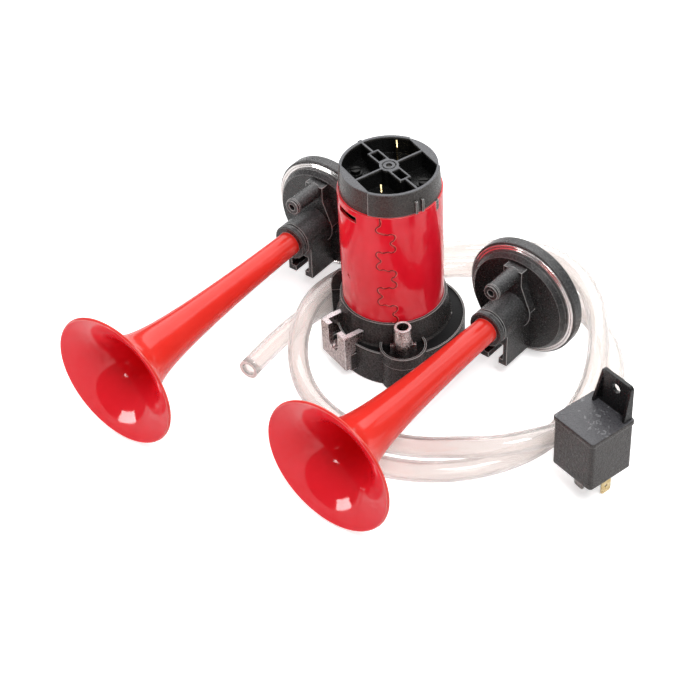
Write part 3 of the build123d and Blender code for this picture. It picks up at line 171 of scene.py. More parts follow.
# %% [markdown]
# ## Softboxes
#
# Gloss is only as good as what it mirrors. The wide softbox behind and above the table is what
# the flat black tops mirror towards the camera. The key hangs high in front and gives the form.
# A panel at the right lights the tops of the trumpets, and a small bright window at the left
# makes the crisp patch inside each bell.
#
# A softbox is given by where it hangs, what it faces, its width and height, and its brightness,
# where 1 is as bright as white paper in this light.

# %% Softboxes
SET_MIDDLE = (0, 0, 0.03)
BELLS_MIDDLE = (-0.03, -0.13, 0.02)


def softbox(name, place, target, width, height, brightness):
    """Rectangular area lamp at a place in metres, facing a target."""
    data = bpy.data.lights.new(name, "AREA")
    data.shape = "RECTANGLE"
    data.size = width
    data.size_y = height
    data.energy = brightness * math.pi * width * height
    lamp = bpy.data.objects.new(name, data)
    bpy.context.scene.collection.objects.link(lamp)
    lamp.location = place
    aim = Vector(target) - Vector(place)
    lamp.rotation_euler = aim.to_track_quat("-Z", "Y").to_euler()
    return lamp


softbox("back_softbox", (0.30, 1.45, 1.35), SET_MIDDLE, 2.6, 1.8, 2.3)
softbox("key_softbox", (0.50, -1.00, 2.00), SET_MIDDLE, 0.9, 0.9, 11.5)
softbox("right_panel", (1.60, 0.30, 1.35), SET_MIDDLE, 1.3, 1.1, 1.2)
softbox("left_window", (-1.31, -0.31, 0.15), BELLS_MIDDLE, 0.42, 0.36, 12.0)

# %% [markdown]
# ## Room
#
# The room is dim as a light, so that the throats of the bells stay deep in colour while their
# lower halves mirror the white table. Rays that come from the camera, or that pass through the
# clear hose, see a white room instead. A Background node has a light grey of its own, 0.8, and
# its strength for those rays makes up for that.

# %% Room
ROOM_LIGHT = 0.20
ROOM_SEEN = 1.3

world = bpy.data.worlds.new("studio")
bpy.context.scene.world = world
world.use_nodes = True
tree = world.node_tree
tree.nodes.clear()
output = tree.nodes.new("ShaderNodeOutputWorld")
white = tree.nodes.new("ShaderNodeBackground")
white.inputs["Strength"].default_value = ROOM_SEEN
even = tree.nodes.new("ShaderNodeBackground")
even.inputs["Strength"].default_value = ROOM_LIGHT
choose = tree.nodes.new("ShaderNodeMixShader")
path = tree.nodes.new("ShaderNodeLightPath")
camera_ray, clear_ray = path.outputs["Is Camera Ray"], path.outputs["Is Transmission Ray"]
tree.links.new(combined(tree, camera_ray, clear_ray, "MAXIMUM"), choose.inputs["Fac"])
tree.links.new(even.outputs[0], choose.inputs[1])
tree.links.new(white.outputs[0], choose.inputs[2])
tree.links.new(choose.outputs[0], output.inputs["Surface"])
print("room light:", ROOM_LIGHT)

# %% [markdown]
# ## Materials: one helper for each kind of detail
#
# Each finish starts from a Principled shader. Small helpers then add what real surfaces have: a
# fine relief, a slow change of colour, and a change of gloss. All of them read Object
# coordinates, so the grain has its true size and stays put. Noise seldom leaves its middle
# third, so a value that it drives goes from one end to the other within that.

# %% Material helpers
NOISE_LOW = 0.35
NOISE_HIGH = 0.65


def finish(name, colour, roughness, metallic=0.0):
    """New material with a Principled shader."""
    material = bpy.data.materials.new(name)
    material.use_nodes = True
    shader = material.node_tree.nodes["Principled BSDF"]
    shader.inputs["Base Color"].default_value = (*colour, 1)
    shader.inputs["Roughness"].default_value = roughness
    shader.inputs["Metallic"].default_value = metallic
    return material


def shader_of(material):
    """The Principled shader of a material."""
    return material.node_tree.nodes["Principled BSDF"]


def noise(material, size, detail=2.0, stretch=(1, 1, 1)):
    """Noise on Object coordinates with grains of about the given size in metres."""
    tree = material.node_tree
    place = tree.nodes.new("ShaderNodeTexCoord")
    mapping = tree.nodes.new("ShaderNodeMapping")
    mapping.inputs["Scale"].default_value = stretch
    texture = tree.nodes.new("ShaderNodeTexNoise")
    texture.inputs["Scale"].default_value = 1 / size
    texture.inputs["Detail"].default_value = detail
    tree.links.new(place.outputs["Object"], mapping.inputs["Vector"])
    tree.links.new(mapping.outputs["Vector"], texture.inputs["Vector"])
    return texture.outputs["Fac"]


def relief(material, height, strength, depth):
    """Bump from a height; a second call adds to the first."""
    tree = material.node_tree
    bump = tree.nodes.new("ShaderNodeBump")
    bump.inputs["Strength"].default_value = strength
    bump.inputs["Distance"].default_value = depth
    tree.links.new(height, bump.inputs["Height"])
    normal = shader_of(material).inputs["Normal"]
    if normal.is_linked:
        tree.links.new(normal.links[0].from_socket, bump.inputs["Normal"])
    tree.links.new(bump.outputs["Normal"], normal)


def vary(material, socket, amount, low, high):
    """Drive a socket between two values, or two colours, by an amount from 0 to 1."""
    tree = material.node_tree
    ramp = tree.nodes.new("ShaderNodeValToRGB")
    stops = ramp.color_ramp.elements
    for stop, position, value in zip(stops, (NOISE_LOW, NOISE_HIGH), (low, high)):
        stop.position = position
        stop.color = (*value, 1) if isinstance(value, tuple) else (value, value, value, 1)
    tree.links.new(amount, ramp.inputs["Fac"])
    tree.links.new(ramp.outputs["Color"], shader_of(material).inputs[socket])


# %% [markdown]
# ## Clear hose
#
# The hose is clear vinyl, 11.2 mm across with a bore of 7.8 mm, cut off square at both ends. It
# lies in two loose turns that fan out and cross in two places. Its route is a list of control
# points in millimetres. They are the CAD tube's own, lifted a little because the hose is
# thicker here, with a few at the lower front moved sideways by up to 3 mm. REST is the height at
# which the hose lies on the table, and the higher points carry one turn over the other in long
# low humps.

# %% Hose route
HOSE_R = 5.6 * MM
HOSE_WALL = 1.7 * MM
REST = 5.6
HOSE_ROUTE = [
    (-80.5, -25.0, REST), (-72.0, -12.5, REST), (-63.0, -0.5, REST), (-53.0, 11.0, REST),
    (-42.0, 21.8, REST), (-30.0, 31.0, REST), (-17.0, 38.8, REST), (-3.0, 44.5, REST),
    (12.0, 48.2, REST), (27.5, 50.2, REST), (43.0, 50.5, REST), (58.5, 47.5, REST),
    (73.0, 40.8, REST), (86.0, 31.0, REST), (97.5, 19.0, REST), (106.5, 4.5, REST),
    (112.5, -11.5, REST), (115.2, -28.5, REST), (114.5, -45.5, REST), (110.0, -61.5, 5.9),
    (102.0, -76.0, 8.3), (90.5, -88.5, 12.4), (76.0, -98.0, 16.2), (60.0, -103.5, 17.7),
    (43.5, -104.9, 16.5), (27.5, -101.8, 14.8), (12.0, -96.5, 10.0), (-3.5, -90.0, 7.0),
    (-18.5, -82.0, REST), (-31.5, -71.5, REST), (-42.0, -58.5, REST), (-49.3, -43.5, REST),
    (-53.2, -27.5, 6.5), (-53.5, -11.5, 10.6), (-49.8, 3.5, 14.9), (-43.0, 17.8, 17.4),
    (-32.2, 29.2, 17.9), (-18.8, 38.1, 17.9), (-4.5, 45.5, 17.7), (9.5, 53.0, 16.3),
    (24.0, 59.8, 11.6), (40.0, 64.5, 7.1), (56.5, 65.6, 5.8), (72.4, 61.9, 7.3),
    (86.6, 53.0, 10.8), (97.3, 39.8, 14.5), (104.0, 24.0, 17.2), (108.0, 7.5, 18.0),
    (109.3, -9.5, 17.4), (108.3, -26.0, 15.3), (104.8, -42.0, 11.1), (98.8, -57.5, 7.3),
    (90.3, -72.0, REST), (79.0, -85.3, REST), (65.5, -96.7, REST), (50.5, -104.3, REST),
    (34.0, -108.7, REST), (17.0, -109.7, REST), (0.5, -107.4, REST), (-15.0, -102.3, REST),
    (-29.5, -95.0, REST),
]
print("hose points:", len(HOSE_ROUTE))

# %% [markdown]
# ## Hose as a curve
#
# A NURBS curve runs smoothly by these points, as a springy hose does. A bevel gives the curve
# its round section, and Solidify adds the wall inwards, so the open bore shows at the ends.

# %% Hose curve
HOSE_SMOOTHNESS = 6
HOSE_SECTION = 8

curve_data = bpy.data.curves.new("clear_hose", "CURVE")
curve_data.dimensions = "3D"
spline = curve_data.splines.new("NURBS")
spline.points.add(len(HOSE_ROUTE) - 1)
for point, place in zip(spline.points, HOSE_ROUTE):
    point.co = (*(Vector(place) * MM), 1)
spline.order_u = 3
spline.use_endpoint_u = True
spline.resolution_u = HOSE_SMOOTHNESS
curve_data.bevel_depth = HOSE_R
curve_data.bevel_resolution = HOSE_SECTION
hose = bpy.data.objects.new("clear_hose", curve_data)
bpy.context.scene.collection.objects.link(hose)
wall = hose.modifiers.new("wall", "SOLIDIFY")
wall.thickness = HOSE_WALL
wall.offset = -1

print("hose:", round(2 * HOSE_R / MM, 1), "mm across")

# %% [markdown]
# ## Vinyl
#
# Clear vinyl is seldom as clear as glass. Most of the light goes through, tinted a little, and
# the rest comes back milky from the wall. The shadow of such a hose is pale, so for shadow rays
# the material is nearly transparent. The ends were cut with a knife and are matt and whitish:
# Solidify gives its rim faces the second material.

# %% Hose vinyl
VINYL_TINT = (0.93, 0.897, 0.876)
VINYL_GLOSS = 0.06
VINYL_CLEARNESS = 0.78
VINYL_IOR = 1.45
VINYL_SHADOW = (0.86, 0.85, 0.85, 1)

vinyl = finish("clear_vinyl", VINYL_TINT, VINYL_GLOSS)
vinyl_shader = shader_of(vinyl)
vinyl_shader.inputs["Transmission Weight"].default_value = VINYL_CLEARNESS
vinyl_shader.inputs["IOR"].default_value = VINYL_IOR
relief(vinyl, noise(vinyl, 5 * MM), 0.2, 0.15 * MM)
tree = vinyl.node_tree
let_through = tree.nodes.new("ShaderNodeBsdfTransparent")
let_through.inputs["Color"].default_value = VINYL_SHADOW
choose = tree.nodes.new("ShaderNodeMixShader")
path = tree.nodes.new("ShaderNodeLightPath")
tree.links.new(path.outputs["Is Shadow Ray"], choose.inputs["Fac"])
tree.links.new(vinyl_shader.outputs[0], choose.inputs[1])
tree.links.new(let_through.outputs[0], choose.inputs[2])
tree.links.new(choose.outputs[0], tree.nodes["Material Output"].inputs["Surface"])

cut_vinyl = finish("cut_vinyl", (0.84, 0.79, 0.76), 0.5)
vary(cut_vinyl, "Base Color", noise(cut_vinyl, 0.8 * MM), (0.80, 0.74, 0.71), (0.90, 0.86, 0.84))
curve_data.materials.append(vinyl)
curve_data.materials.append(cut_vinyl)
wall.material_offset_rim = 1
print("hose materials:", [material.name for material in curve_data.materials])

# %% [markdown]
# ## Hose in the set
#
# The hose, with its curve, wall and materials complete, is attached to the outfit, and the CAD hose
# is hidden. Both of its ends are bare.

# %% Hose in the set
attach(hose, STATIC)
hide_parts("air_hose")

# %% [markdown]
# ## Turning a shape ring by ring
#
# Trumpets and clamp rings are lathe shapes. Such a shape starts as a circle, which is extruded
# along the axis and resized at each step until the last ring lies on the first. Merging those
# two closes the wall. Faces that meet at a small angle are shaded smooth, and sharp edges stay.

# %% Turned shapes
TURNED_SIDES = 128
MERGE_REACH = 0.02 * MM
SMOOTH_UNDER = 32


def turned(name, rings):
    """Closed lathe piece about the upright axis, from rings of radius and height in metres."""
    bpy.ops.object.select_all(action="DESELECT")
    radius, height = rings[0]
    bpy.ops.mesh.primitive_circle_add(vertices=TURNED_SIDES, radius=radius, location=(0, 0, height))
    piece = bpy.context.object
    piece.name = name
    bpy.ops.object.transform_apply(location=True, rotation=False, scale=False)
    bpy.ops.object.mode_set(mode="EDIT")
    bpy.ops.mesh.select_all(action="SELECT")
    for new_radius, new_height in rings[1:]:
        move = {"value": (0, 0, new_height - height)}
        bpy.ops.mesh.extrude_edges_move(TRANSFORM_OT_translate=move)
        factor = new_radius / radius
        bpy.ops.transform.resize(value=(factor, factor, 1), center_override=(0, 0, new_height))
        radius, height = new_radius, new_height
    bpy.ops.mesh.select_all(action="SELECT")
    bpy.ops.mesh.remove_doubles(threshold=MERGE_REACH)
    bpy.ops.mesh.select_all(action="SELECT")
    bpy.ops.mesh.normals_make_consistent(inside=False)
    bpy.ops.object.mode_set(mode="OBJECT")
    bpy.ops.object.shade_smooth_by_angle(angle=math.radians(SMOOTH_UNDER))
    return piece


# %% [markdown]
# ## Profile of a trumpet
#
# A trumpet is one moulding: a bell that flares to a thin rolled rim, and a long taper that goes
# into the horn body. Two falling curves added together give the flare and the taper. The rings
# go over the rim, back along the outside, through the end and forward again inside. They stand
# close together at the flare, which keeps the mirror-like surface free of facets.

# %% Trumpet profile
BELL_R = 38.0
LIP_INSET = 0.6
LIP_DEPTH = 1.4
LIP_ANGLES = (46, 36, 26, 16, 8, 0)
LIP_CLEAR = 0.3
WALL = 1.4
THROAT_R = 5.9
TAPER_R = 12.2
TAPER_LENGTH = 55.0
FLARE_R = 20.2
FLARE_LENGTH = 8.0
HUB_LENGTH = 33.2
SOCKET_DEPTH = 14.0
TRUMPET_STEPS = 46
CROWDING = 1.9


def bell_outside(s):
    """Outer radius at a distance from the rim, in millimetres."""
    taper = THROAT_R + TAPER_R * math.exp(-s / TAPER_LENGTH)
    return taper + FLARE_R * math.exp(-(s - LIP_DEPTH) / FLARE_LENGTH)


def bell_inside(s):
    """Inner radius at a distance from the rim, in millimetres."""
    taper = THROAT_R - WALL + TAPER_R * math.exp(-s / TAPER_LENGTH)
    flare = BELL_R - LIP_INSET - THROAT_R + WALL - TAPER_R
    return taper + flare * math.exp(-s / FLARE_LENGTH)


def trumpet_rings(length):
    """Rings of a trumpet: over the lip, along the outside, round the end and back inside."""
    rear = length - HUB_LENGTH + SOCKET_DEPTH
    steps = [rear * (i / TRUMPET_STEPS) ** CROWDING for i in range(TRUMPET_STEPS + 1)]
    lip_r = (LIP_INSET**2 + LIP_DEPTH**2) / (2 * LIP_INSET)
    rings = []
    for angle in LIP_ANGLES:
        turn = math.radians(angle)
        rings.append((BELL_R - lip_r * (1 - math.cos(turn)), LIP_DEPTH - lip_r * math.sin(turn)))
    rings += [(bell_outside(s), s) for s in steps if s > LIP_DEPTH + LIP_CLEAR]
    rings += [(bell_inside(s), s) for s in reversed(steps)]
    rings.append(rings[0])
    return [(radius * MM, height * MM) for radius, height in rings]


# %% [markdown]
# ## Laying a horn down
#
# A horn lies on the rim of its bell and on the rear edge of its cover. The bell is wider, so
# the axis falls a little towards the rear. The piece is turned upright, with its rim at the
# origin, and then laid down in one step, which leaves its object unturned at the origin.

# %% Laying down
COVER_R = 33.9
COVER_DEPTH = 6.6
COVER_EDGE = 0.8


def lay_down(piece, x, y, azimuth, length):
    """Turn an upright horn piece into its place, resting on the bell's rim and the cover's edge."""
    run = length + COVER_DEPTH - COVER_EDGE - LIP_DEPTH
    fall = math.atan((BELL_R - COVER_R) / run)
    height = BELL_R * math.cos(fall) + LIP_DEPTH * math.sin(fall)
    along = direction(azimuth) * math.cos(fall) + Vector((0, 0, -math.sin(fall)))
    side = direction(azimuth + 90)
    up = along.cross(side)
    place = Matrix((side, up, along)).transposed().to_4x4()
    place.translation = Vector((x, y, height)) * MM
    piece.matrix_world = place
    select_only(piece)
    bpy.ops.object.transform_apply(location=True, rotation=True, scale=True)
    return piece


# %% [markdown]
# ## Two trumpets
#
# Both horns share the profile and differ in length. Faces inside the bell get the second material,
# a shaded copy of the red that is deeper in colour: painted shade. A face counts as inside if it is
# nearer to the axis than the middle of the wall.

# %% Trumpets
HORNS = {
    "long": {"x": -146.9, "y": -63.96, "azimuth": 50.0, "length": 175.6},
    "short": {"x": -39.9, "y": -133.7, "azimuth": 48.4, "length": 162.7},
}
trumpets = {}
for name, horn in HORNS.items():
    piece = turned(f"{name}_trumpet_shell", trumpet_rings(horn["length"]))
    for face in piece.data.polygons:
        radius, depth = face.center.xy.length / MM, face.center.z / MM
        face.material_index = int(radius < (bell_outside(depth) + bell_inside(depth)) / 2)
    trumpets[name] = lay_down(piece, **horn)
    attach(piece, STATIC)
    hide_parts(f"{name}_trumpet")
    cad_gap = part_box(f"{name}_trumpet")[0].z / MM
    gap = min(vertex.co.z for vertex in piece.data.vertices) / MM
    print(name, "trumpet faces:", len(piece.data.polygons))
    print("above the floor, mm:", round(gap, 3), "and in CAD:", round(cad_gap, 3))

# %% [markdown]
# ## Rolled clamp rings
#
# A thin steel ring clamps the diaphragm between the horn body and its rear cover. It is rolled
# with two round beads, so it shows as two bright lines with a dark one between them. It is
# turned in the same way as the trumpets and laid down with them.

# %% Clamp rings
RING_R = 32.8
RING_INSIDE_R = 26.0
RING_THICK = 0.7
BEADS = ((29.95, 31.15), (31.45, 32.65))
BEAD_RISE = 0.36
BEAD_STEP = 30


def ring_profile(length):
    """Closed outline of the ring: flat at the back, two beads towards the bell."""
    front = length - RING_THICK
    rings = [(RING_INSIDE_R, length), (RING_INSIDE_R, front)]
    for start, end in BEADS:
        middle, half = (start + end) / 2, (end - start) / 2
        for angle in range(180, -1, -BEAD_STEP):
            turn = math.radians(angle)
            rings.append((middle + half * math.cos(turn), front - BEAD_RISE * math.sin(turn)))
    rings += [(RING_R, front), (RING_R, length), (RING_INSIDE_R, length)]
    return [(radius * MM, height * MM) for radius, height in rings]


clamp_rings = {}
for name, horn in HORNS.items():
    piece = turned(f"{name}_rolled_ring", ring_profile(horn["length"]))
    clamp_rings[name] = lay_down(piece, **horn)
    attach(piece, STATIC)
    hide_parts(f"{name}_clamp_ring")
    print(name, "ring faces:", len(piece.data.polygons))

# %% [markdown]
# ## Path of the can's seam
#
# The can is a rolled sheet whose two edges lock into each other like pieces of a jigsaw. From
# the rim the joint steps aside once, and then goes down in pairs of round ears, to the left and
# to the right in turn. It is written as if the can were unrolled: a distance along the surface
# and a height, in millimetres. A lobe is half an ear, its points given as shares of the ear's
# length and rises from its middle.

# %% Seam path
SEAM_START = [(-2.4, 104.4), (-2.4, 100.0), (-4.3, 98.2), (-4.6, 96.2), (-2.6, 94.9)]
SEAM_FIRST_EAR = 92.4
SEAM_EAR = 4.8
SEAM_PITCH = 11.9
SEAM_EAR_GAP = 7.2
SEAM_WAIST = 0.55
SEAM_PAIRS = 5
SEAM_LOBE = [(0.30, 1.9), (0.62, 2.5), (0.95, 1.7), (1.06, 0.0), (0.90, -1.7)]


def seam_points():
    """Points of the joint as distance along the can's surface and height, in millimetres."""
    points = list(SEAM_START)
    ear, side = SEAM_FIRST_EAR, 1
    lower = [(share, -rise) for share, rise in reversed(SEAM_LOBE)]
    for _ in range(SEAM_PAIRS):
        points += [(side * SEAM_EAR * share, ear + rise) for share, rise in SEAM_LOBE]
        points.append((side * SEAM_EAR * SEAM_WAIST, ear - SEAM_EAR_GAP / 2))
        points += [(side * SEAM_EAR * share, ear - SEAM_EAR_GAP + rise) for share, rise in lower]
        ear, side = ear - SEAM_PITCH, -side
    return points


print("seam points:", len(seam_points()))

# %% [markdown]
# ## Seam as two fine lines
#
# The joint is drawn by a dark line of painted shade and a bright line of painted highlight beside
# it. Each line is a smooth curve by the path's points, bent round the can, given a fine round
# section and made a mesh. It stands out of the paint by less than a third of a millimetre.

# %% Seam lines
CAN_R = 27.4
SEAM_AZIMUTH = -99.0
SEAM_LINES = {"seam_line": (0.0, 0.27), "seam_glint": (0.55, 0.2)}
SEAM_SMOOTHNESS = 6


def seam_line(name, shift, section):
    """One line along the joint, moved sideways by a shift, as a mesh."""
    points = seam_points()
    data = bpy.data.curves.new(name, "CURVE")
    data.dimensions = "3D"
    joint = data.splines.new("BEZIER")
    joint.bezier_points.add(len(points) - 1)
    for knot, (along, height) in zip(joint.bezier_points, points):
        across = SEAM_AZIMUTH + math.degrees((along + shift) / CAN_R)
        knot.co = (direction(across) * CAN_R + Vector((0, 0, height))) * MM
        knot.handle_left_type = knot.handle_right_type = "AUTO"
    data.resolution_u = SEAM_SMOOTHNESS
    data.bevel_depth = section * MM
    data.bevel_resolution = 1
    line = bpy.data.objects.new(name, data)
    bpy.context.scene.collection.objects.link(line)
    select_only(line)
    bpy.ops.object.convert(target="MESH")
    line = bpy.context.object
    bpy.ops.object.shade_smooth()
    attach(line, STATIC)
    return line


seam = {name: seam_line(name, *place) for name, place in SEAM_LINES.items()}
print("seam faces:", {name: len(line.data.polygons) for name, line in seam.items()})

# %% [markdown]
# ## Edges that catch the light
#
# No moulded or painted edge is truly sharp. A Bevel node bends the shading at an edge without
# adding any faces. An Ambient Occlusion node, turned inwards, finds the sharp edges, and that mask
# lays a lighter tone over the base colour there: a painted highlight. Turned outwards, it finds
# crevices, where a darker tone is painted shade.

# %% Edge helpers
EDGE_SAMPLES = 6
OPEN_FACE = 0.92


def soften(material, radius):
    """Rounded look on sharp edges. It comes before any relief."""
    tree = material.node_tree
    bevel = tree.nodes.new("ShaderNodeBevel")
    bevel.samples = EDGE_SAMPLES
    bevel.inputs["Radius"].default_value = radius
    tree.links.new(bevel.outputs["Normal"], shader_of(material).inputs["Normal"])


def laid_over(material, mask, colour):
    """Lay a colour over the base colour where a mask is 1."""
    tree = material.node_tree
    base = shader_of(material).inputs["Base Color"]
    mix = tree.nodes.new("ShaderNodeMix")
    mix.data_type = "RGBA"
    under, over = mix.inputs[6], mix.inputs[7]
    if base.is_linked:
        tree.links.new(base.links[0].from_socket, under)
    under.default_value = base.default_value
    over.default_value = (*colour, 1)
    tree.links.new(mask, mix.inputs[0])
    tree.links.new(mix.outputs[2], base)


def near_edge(material, reach, inside, soft=0.5):
    """Mask that is 1 along sharp edges, or in crevices, and 0 on open faces."""
    tree = material.node_tree
    closeness = tree.nodes.new("ShaderNodeAmbientOcclusion")
    closeness.inside = inside
    closeness.only_local = True
    closeness.samples = EDGE_SAMPLES
    closeness.inputs["Distance"].default_value = reach
    steps = tree.nodes.new("ShaderNodeMapRange")
    steps.inputs["From Min"].default_value = OPEN_FACE
    steps.inputs["From Max"].default_value = OPEN_FACE - soft
    tree.links.new(closeness.outputs["AO"], steps.inputs["Value"])
    return steps.outputs["Result"]


# %% [markdown]
# ## Red gloss
#
# The trumpets are glossy moulded plastic, slightly uneven in depth of colour, with a thin painted
# highlight along the rim. Outside, a low index of refraction keeps the white table from washing the
# red out. Inside the bell the red is painted deeper, as painted shade, and mirrors more crisply.

# %% Red mouldings
def red_moulding(name, deep, light, gloss):
    """Glossy red plastic between two tones, with a painted highlight along its rim."""
    material = finish(name, deep, 0.1)
    vary(material, "Base Color", noise(material, 18 * MM, 3), deep, light)
    vary(material, "Roughness", noise(material, 1.3 * MM, 4), *gloss)
    # A lighter tone along the sharp edges, such as the rim: a painted highlight.
    laid_over(material, near_edge(material, 0.8 * MM, True), (0.98, 0.30, 0.25))
    soften(material, 0.45 * MM)
    relief(material, noise(material, 2.2 * MM, 3), 0.22, 0.03 * MM)
    return material


red_gloss = red_moulding(
    "red_gloss_plastic", (0.85, 0.036, 0.025), (0.89, 0.044, 0.031), gloss=(0.12, 0.17)
)
shader_of(red_gloss).inputs["IOR"].default_value = 1.38
# Inside the bell: the same red painted deeper, as painted shade.
shaded_red = red_moulding(
    "red_bell_painted_shade", (0.87, 0.011, 0.022), (0.91, 0.015, 0.030), gloss=(0.04, 0.11)
)
for piece in trumpets.values():
    piece.data.materials.append(red_gloss)
    piece.data.materials.append(shaded_red)
print("trumpet materials:", red_gloss.name, shaded_red.name)

# %% [markdown]
# ## Red paint
#
# The can is rolled steel with thick paint, so its mirror is a little wavy, as paint always is,
# and the wave is longer than the fine peel of the moulding. The paint fills the narrow groove
# of the joint: softening the edges by as much as the groove is wide takes it out of sight, and
# the two lines above draw the seam instead.

# %% Red paint
red_paint = finish("red_can_paint", (0.88, 0.012, 0.030), 0.09)
patchy = noise(red_paint, 14 * MM, 3)
vary(red_paint, "Base Color", patchy, (0.87, 0.011, 0.028), (0.92, 0.015, 0.036))
# Lighter along the sharp edges: a painted highlight.
laid_over(red_paint, near_edge(red_paint, 0.5 * MM, True), (0.92, 0.20, 0.18))
soften(red_paint, 0.6 * MM)
relief(red_paint, noise(red_paint, 9 * MM, 2, (1, 1, 0.45)), 0.6, 0.26 * MM)
relief(red_paint, noise(red_paint, 1.6 * MM, 2), 0.25, 0.03 * MM)
print("can paint:", red_paint.name)

# %% [markdown]
# ## Black mouldings
#
# Glass-filled nylon comes out of its mould with a fine gritty skin: many small glints and a grey
# sheen on what faces the light. The bright lines along its edges are painted highlights, and its
# corners get painted shade. Two sizes of noise make the grit, and a slower one changes the gloss
# from place to place.

# %% Black moulding helpers
# Colour of the painted highlight on edges; corners get painted shade at this share of the base
# colour.
EDGE_HIGHLIGHT = (0.62, 0.61, 0.60)
CORNER_SHADE = 0.2


def edge_light_and_corner_shade(material, highlight_colour, shade_colour, reach):
    """Painted highlights on sharp edges and painted shade in corners."""
    laid_over(material, near_edge(material, 2.5 * reach, False, 0.7), shade_colour)
    laid_over(material, near_edge(material, reach, True), highlight_colour)


def moulding(name, dark, light, grit, edge=EDGE_HIGHLIGHT, gloss=(0.18, 0.42)):
    """Gritty moulded plastic that varies between two colours, with painted highlights on its edges
    and painted shade in its corners.
    """
    material = finish(name, dark, 0.4)
    vary(material, "Base Color", noise(material, 0.9 * MM, 5), dark, light)
    vary(material, "Roughness", noise(material, 0.8 * MM, 4), *gloss)
    edge_light_and_corner_shade(material, edge, tuple(CORNER_SHADE * value for value in dark), 0.6 * MM)
    soften(material, 0.4 * MM)
    relief(material, noise(material, 1.2 * MM, 4), 0.8, grit)
    relief(material, noise(material, 0.5 * MM, 3), 0.9, grit)
    return material


# %% [markdown]
# ## Black of the horn bodies
#
# The horn bodies and their covers have the coarsest grit, and what faces up is painted a little
# lighter grey in fine grains: painted light from above. The other black pieces take this finish
# too, unless they have one of their own.

# %% Horn black
def painted_top_light(material, colour, amount):
    """Painted light on what faces up, in fine grey grains."""
    tree = material.node_tree
    place = tree.nodes.new("ShaderNodeTexCoord")
    parts = tree.nodes.new("ShaderNodeSeparateXYZ")
    upward = tree.nodes.new("ShaderNodeMapRange")
    upward.inputs["From Min"].default_value = 0.2
    upward.inputs["From Max"].default_value = 0.9
    upward.inputs["To Max"].default_value = amount
    tree.links.new(place.outputs["Normal"], parts.inputs[0])
    tree.links.new(parts.outputs["Z"], upward.inputs["Value"])
    grains = combined(tree, noise(material, 0.9 * MM, 3), 1.6, "MULTIPLY")
    laid_over(material, combined(tree, upward.outputs["Result"], grains, "MULTIPLY"), colour)


horn_black = moulding(
    "black_moulding", (0.007, 0.007, 0.0075), (0.036, 0.035, 0.034), 0.22 * MM, gloss=(0.10, 0.30)
)
# Painted light on what faces up.
painted_top_light(horn_black, (0.18, 0.18, 0.185), 0.36)
print("horn bodies and covers:", horn_black.name)

# %% [markdown]
# ## Masks by height
#
# On one moulding, a deck, a pocket or a lid can differ in tone from the walls round it. All of
# these lie level, so a mask by height picks them out: it is 1 between two heights, and if need
# be only within a reach of the upright axis.

# %% Height masks
def between(material, low, high, reach=1.0):
    """Mask that is 1 between two heights and within a reach of the upright axis, in metres."""
    tree = material.node_tree
    place = tree.nodes.new("ShaderNodeTexCoord")
    parts = tree.nodes.new("ShaderNodeSeparateXYZ")
    flat = tree.nodes.new("ShaderNodeVectorMath")
    flat.operation = "MULTIPLY"
    flat.inputs[1].default_value = (1, 1, 0)
    across = tree.nodes.new("ShaderNodeVectorMath")
    across.operation = "LENGTH"
    level = tree.nodes.new("ShaderNodeMath")
    level.operation = "COMPARE"
    level.inputs[1].default_value = (low + high) / 2
    level.inputs[2].default_value = (high - low) / 2
    tree.links.new(place.outputs["Object"], parts.inputs[0])
    tree.links.new(place.outputs["Object"], flat.inputs[0])
    tree.links.new(flat.outputs["Vector"], across.inputs[0])
    tree.links.new(parts.outputs["Z"], level.inputs[0])
    near = combined(tree, across.outputs["Value"], reach, "LESS_THAN")
    return combined(tree, level.outputs[0], near, "MULTIPLY")


def at_height(material, height, within):
    """Mask that is 1 on the level faces at one height."""
    return between(material, height - within, height + within)


# %% [markdown]
# ## Black of the base
#
# The base is finer in grit than the horn bodies. Its flat deck and the recess in its boss are
# painted nearly black, as painted shade where little light reaches, and the deck is duller as well.

# %% Base black
DECK = 20.6 * MM
RECESS = 22.0 * MM
DECK_DULL = 0.60

base_black = moulding(
    "base_moulding", (0.020, 0.020, 0.020), (0.060, 0.058, 0.056), 0.16 * MM, gloss=(0.14, 0.36)
)
base_shader = shader_of(base_black)
base_shader.inputs["IOR"].default_value = 1.32
# Painted shade on the flat deck.
deck = at_height(base_black, DECK, 0.1 * MM)
laid_over(base_black, deck, (0.003, 0.003, 0.0035))
tree = base_black.node_tree
dull = combined(tree, deck, DECK_DULL, "MULTIPLY")
gloss = base_shader.inputs["Roughness"].links[0].from_socket
tree.links.new(combined(tree, gloss, dull, "MAXIMUM"), base_shader.inputs["Roughness"])
# Painted shade in the recess of the boss.
laid_over(base_black, at_height(base_black, RECESS, 0.05 * MM), (0.004, 0.004, 0.004))
print("base:", base_black.name, "with a darker deck at", DECK / MM, "mm")

# %% [markdown]
# ## Black of the motor cap
#
# The cap is finer in grain and slightly brown. Its pockets are deep, and their dark is painted
# shade. The two pads and the rim on top are painted grey: a painted reflection of the wide softbox.

# %% Cap black
POCKET_SHADE = {"low": 80 * MM, "high": 116.8 * MM, "reach": 24.9 * MM}
PAD_REFLECTION = {"low": 117.8 * MM, "high": 119 * MM}

cap_black = moulding("cap_moulding", (0.028, 0.025, 0.023), (0.066, 0.060, 0.055), 0.14 * MM)
# Painted shade in the pockets, then a painted reflection on the pads and rim.
laid_over(cap_black, between(cap_black, **POCKET_SHADE), (0.006, 0.006, 0.006))
laid_over(cap_black, between(cap_black, **PAD_REFLECTION), (0.098, 0.099, 0.109))
print("cap:", cap_black.name)

# %% [markdown]
# ## Black of the relay
#
# The relay's cover has the faintest painted highlight along its edges. Its lid is greyer than its
# sides, its upright tab is darker, and the lid carries a plain moulded texture: fine spots that
# come and go in patches.

# %% Relay black
LID_TOP = 43.7 * MM
SPOT = 1.7 * MM
PATCH = 11 * MM
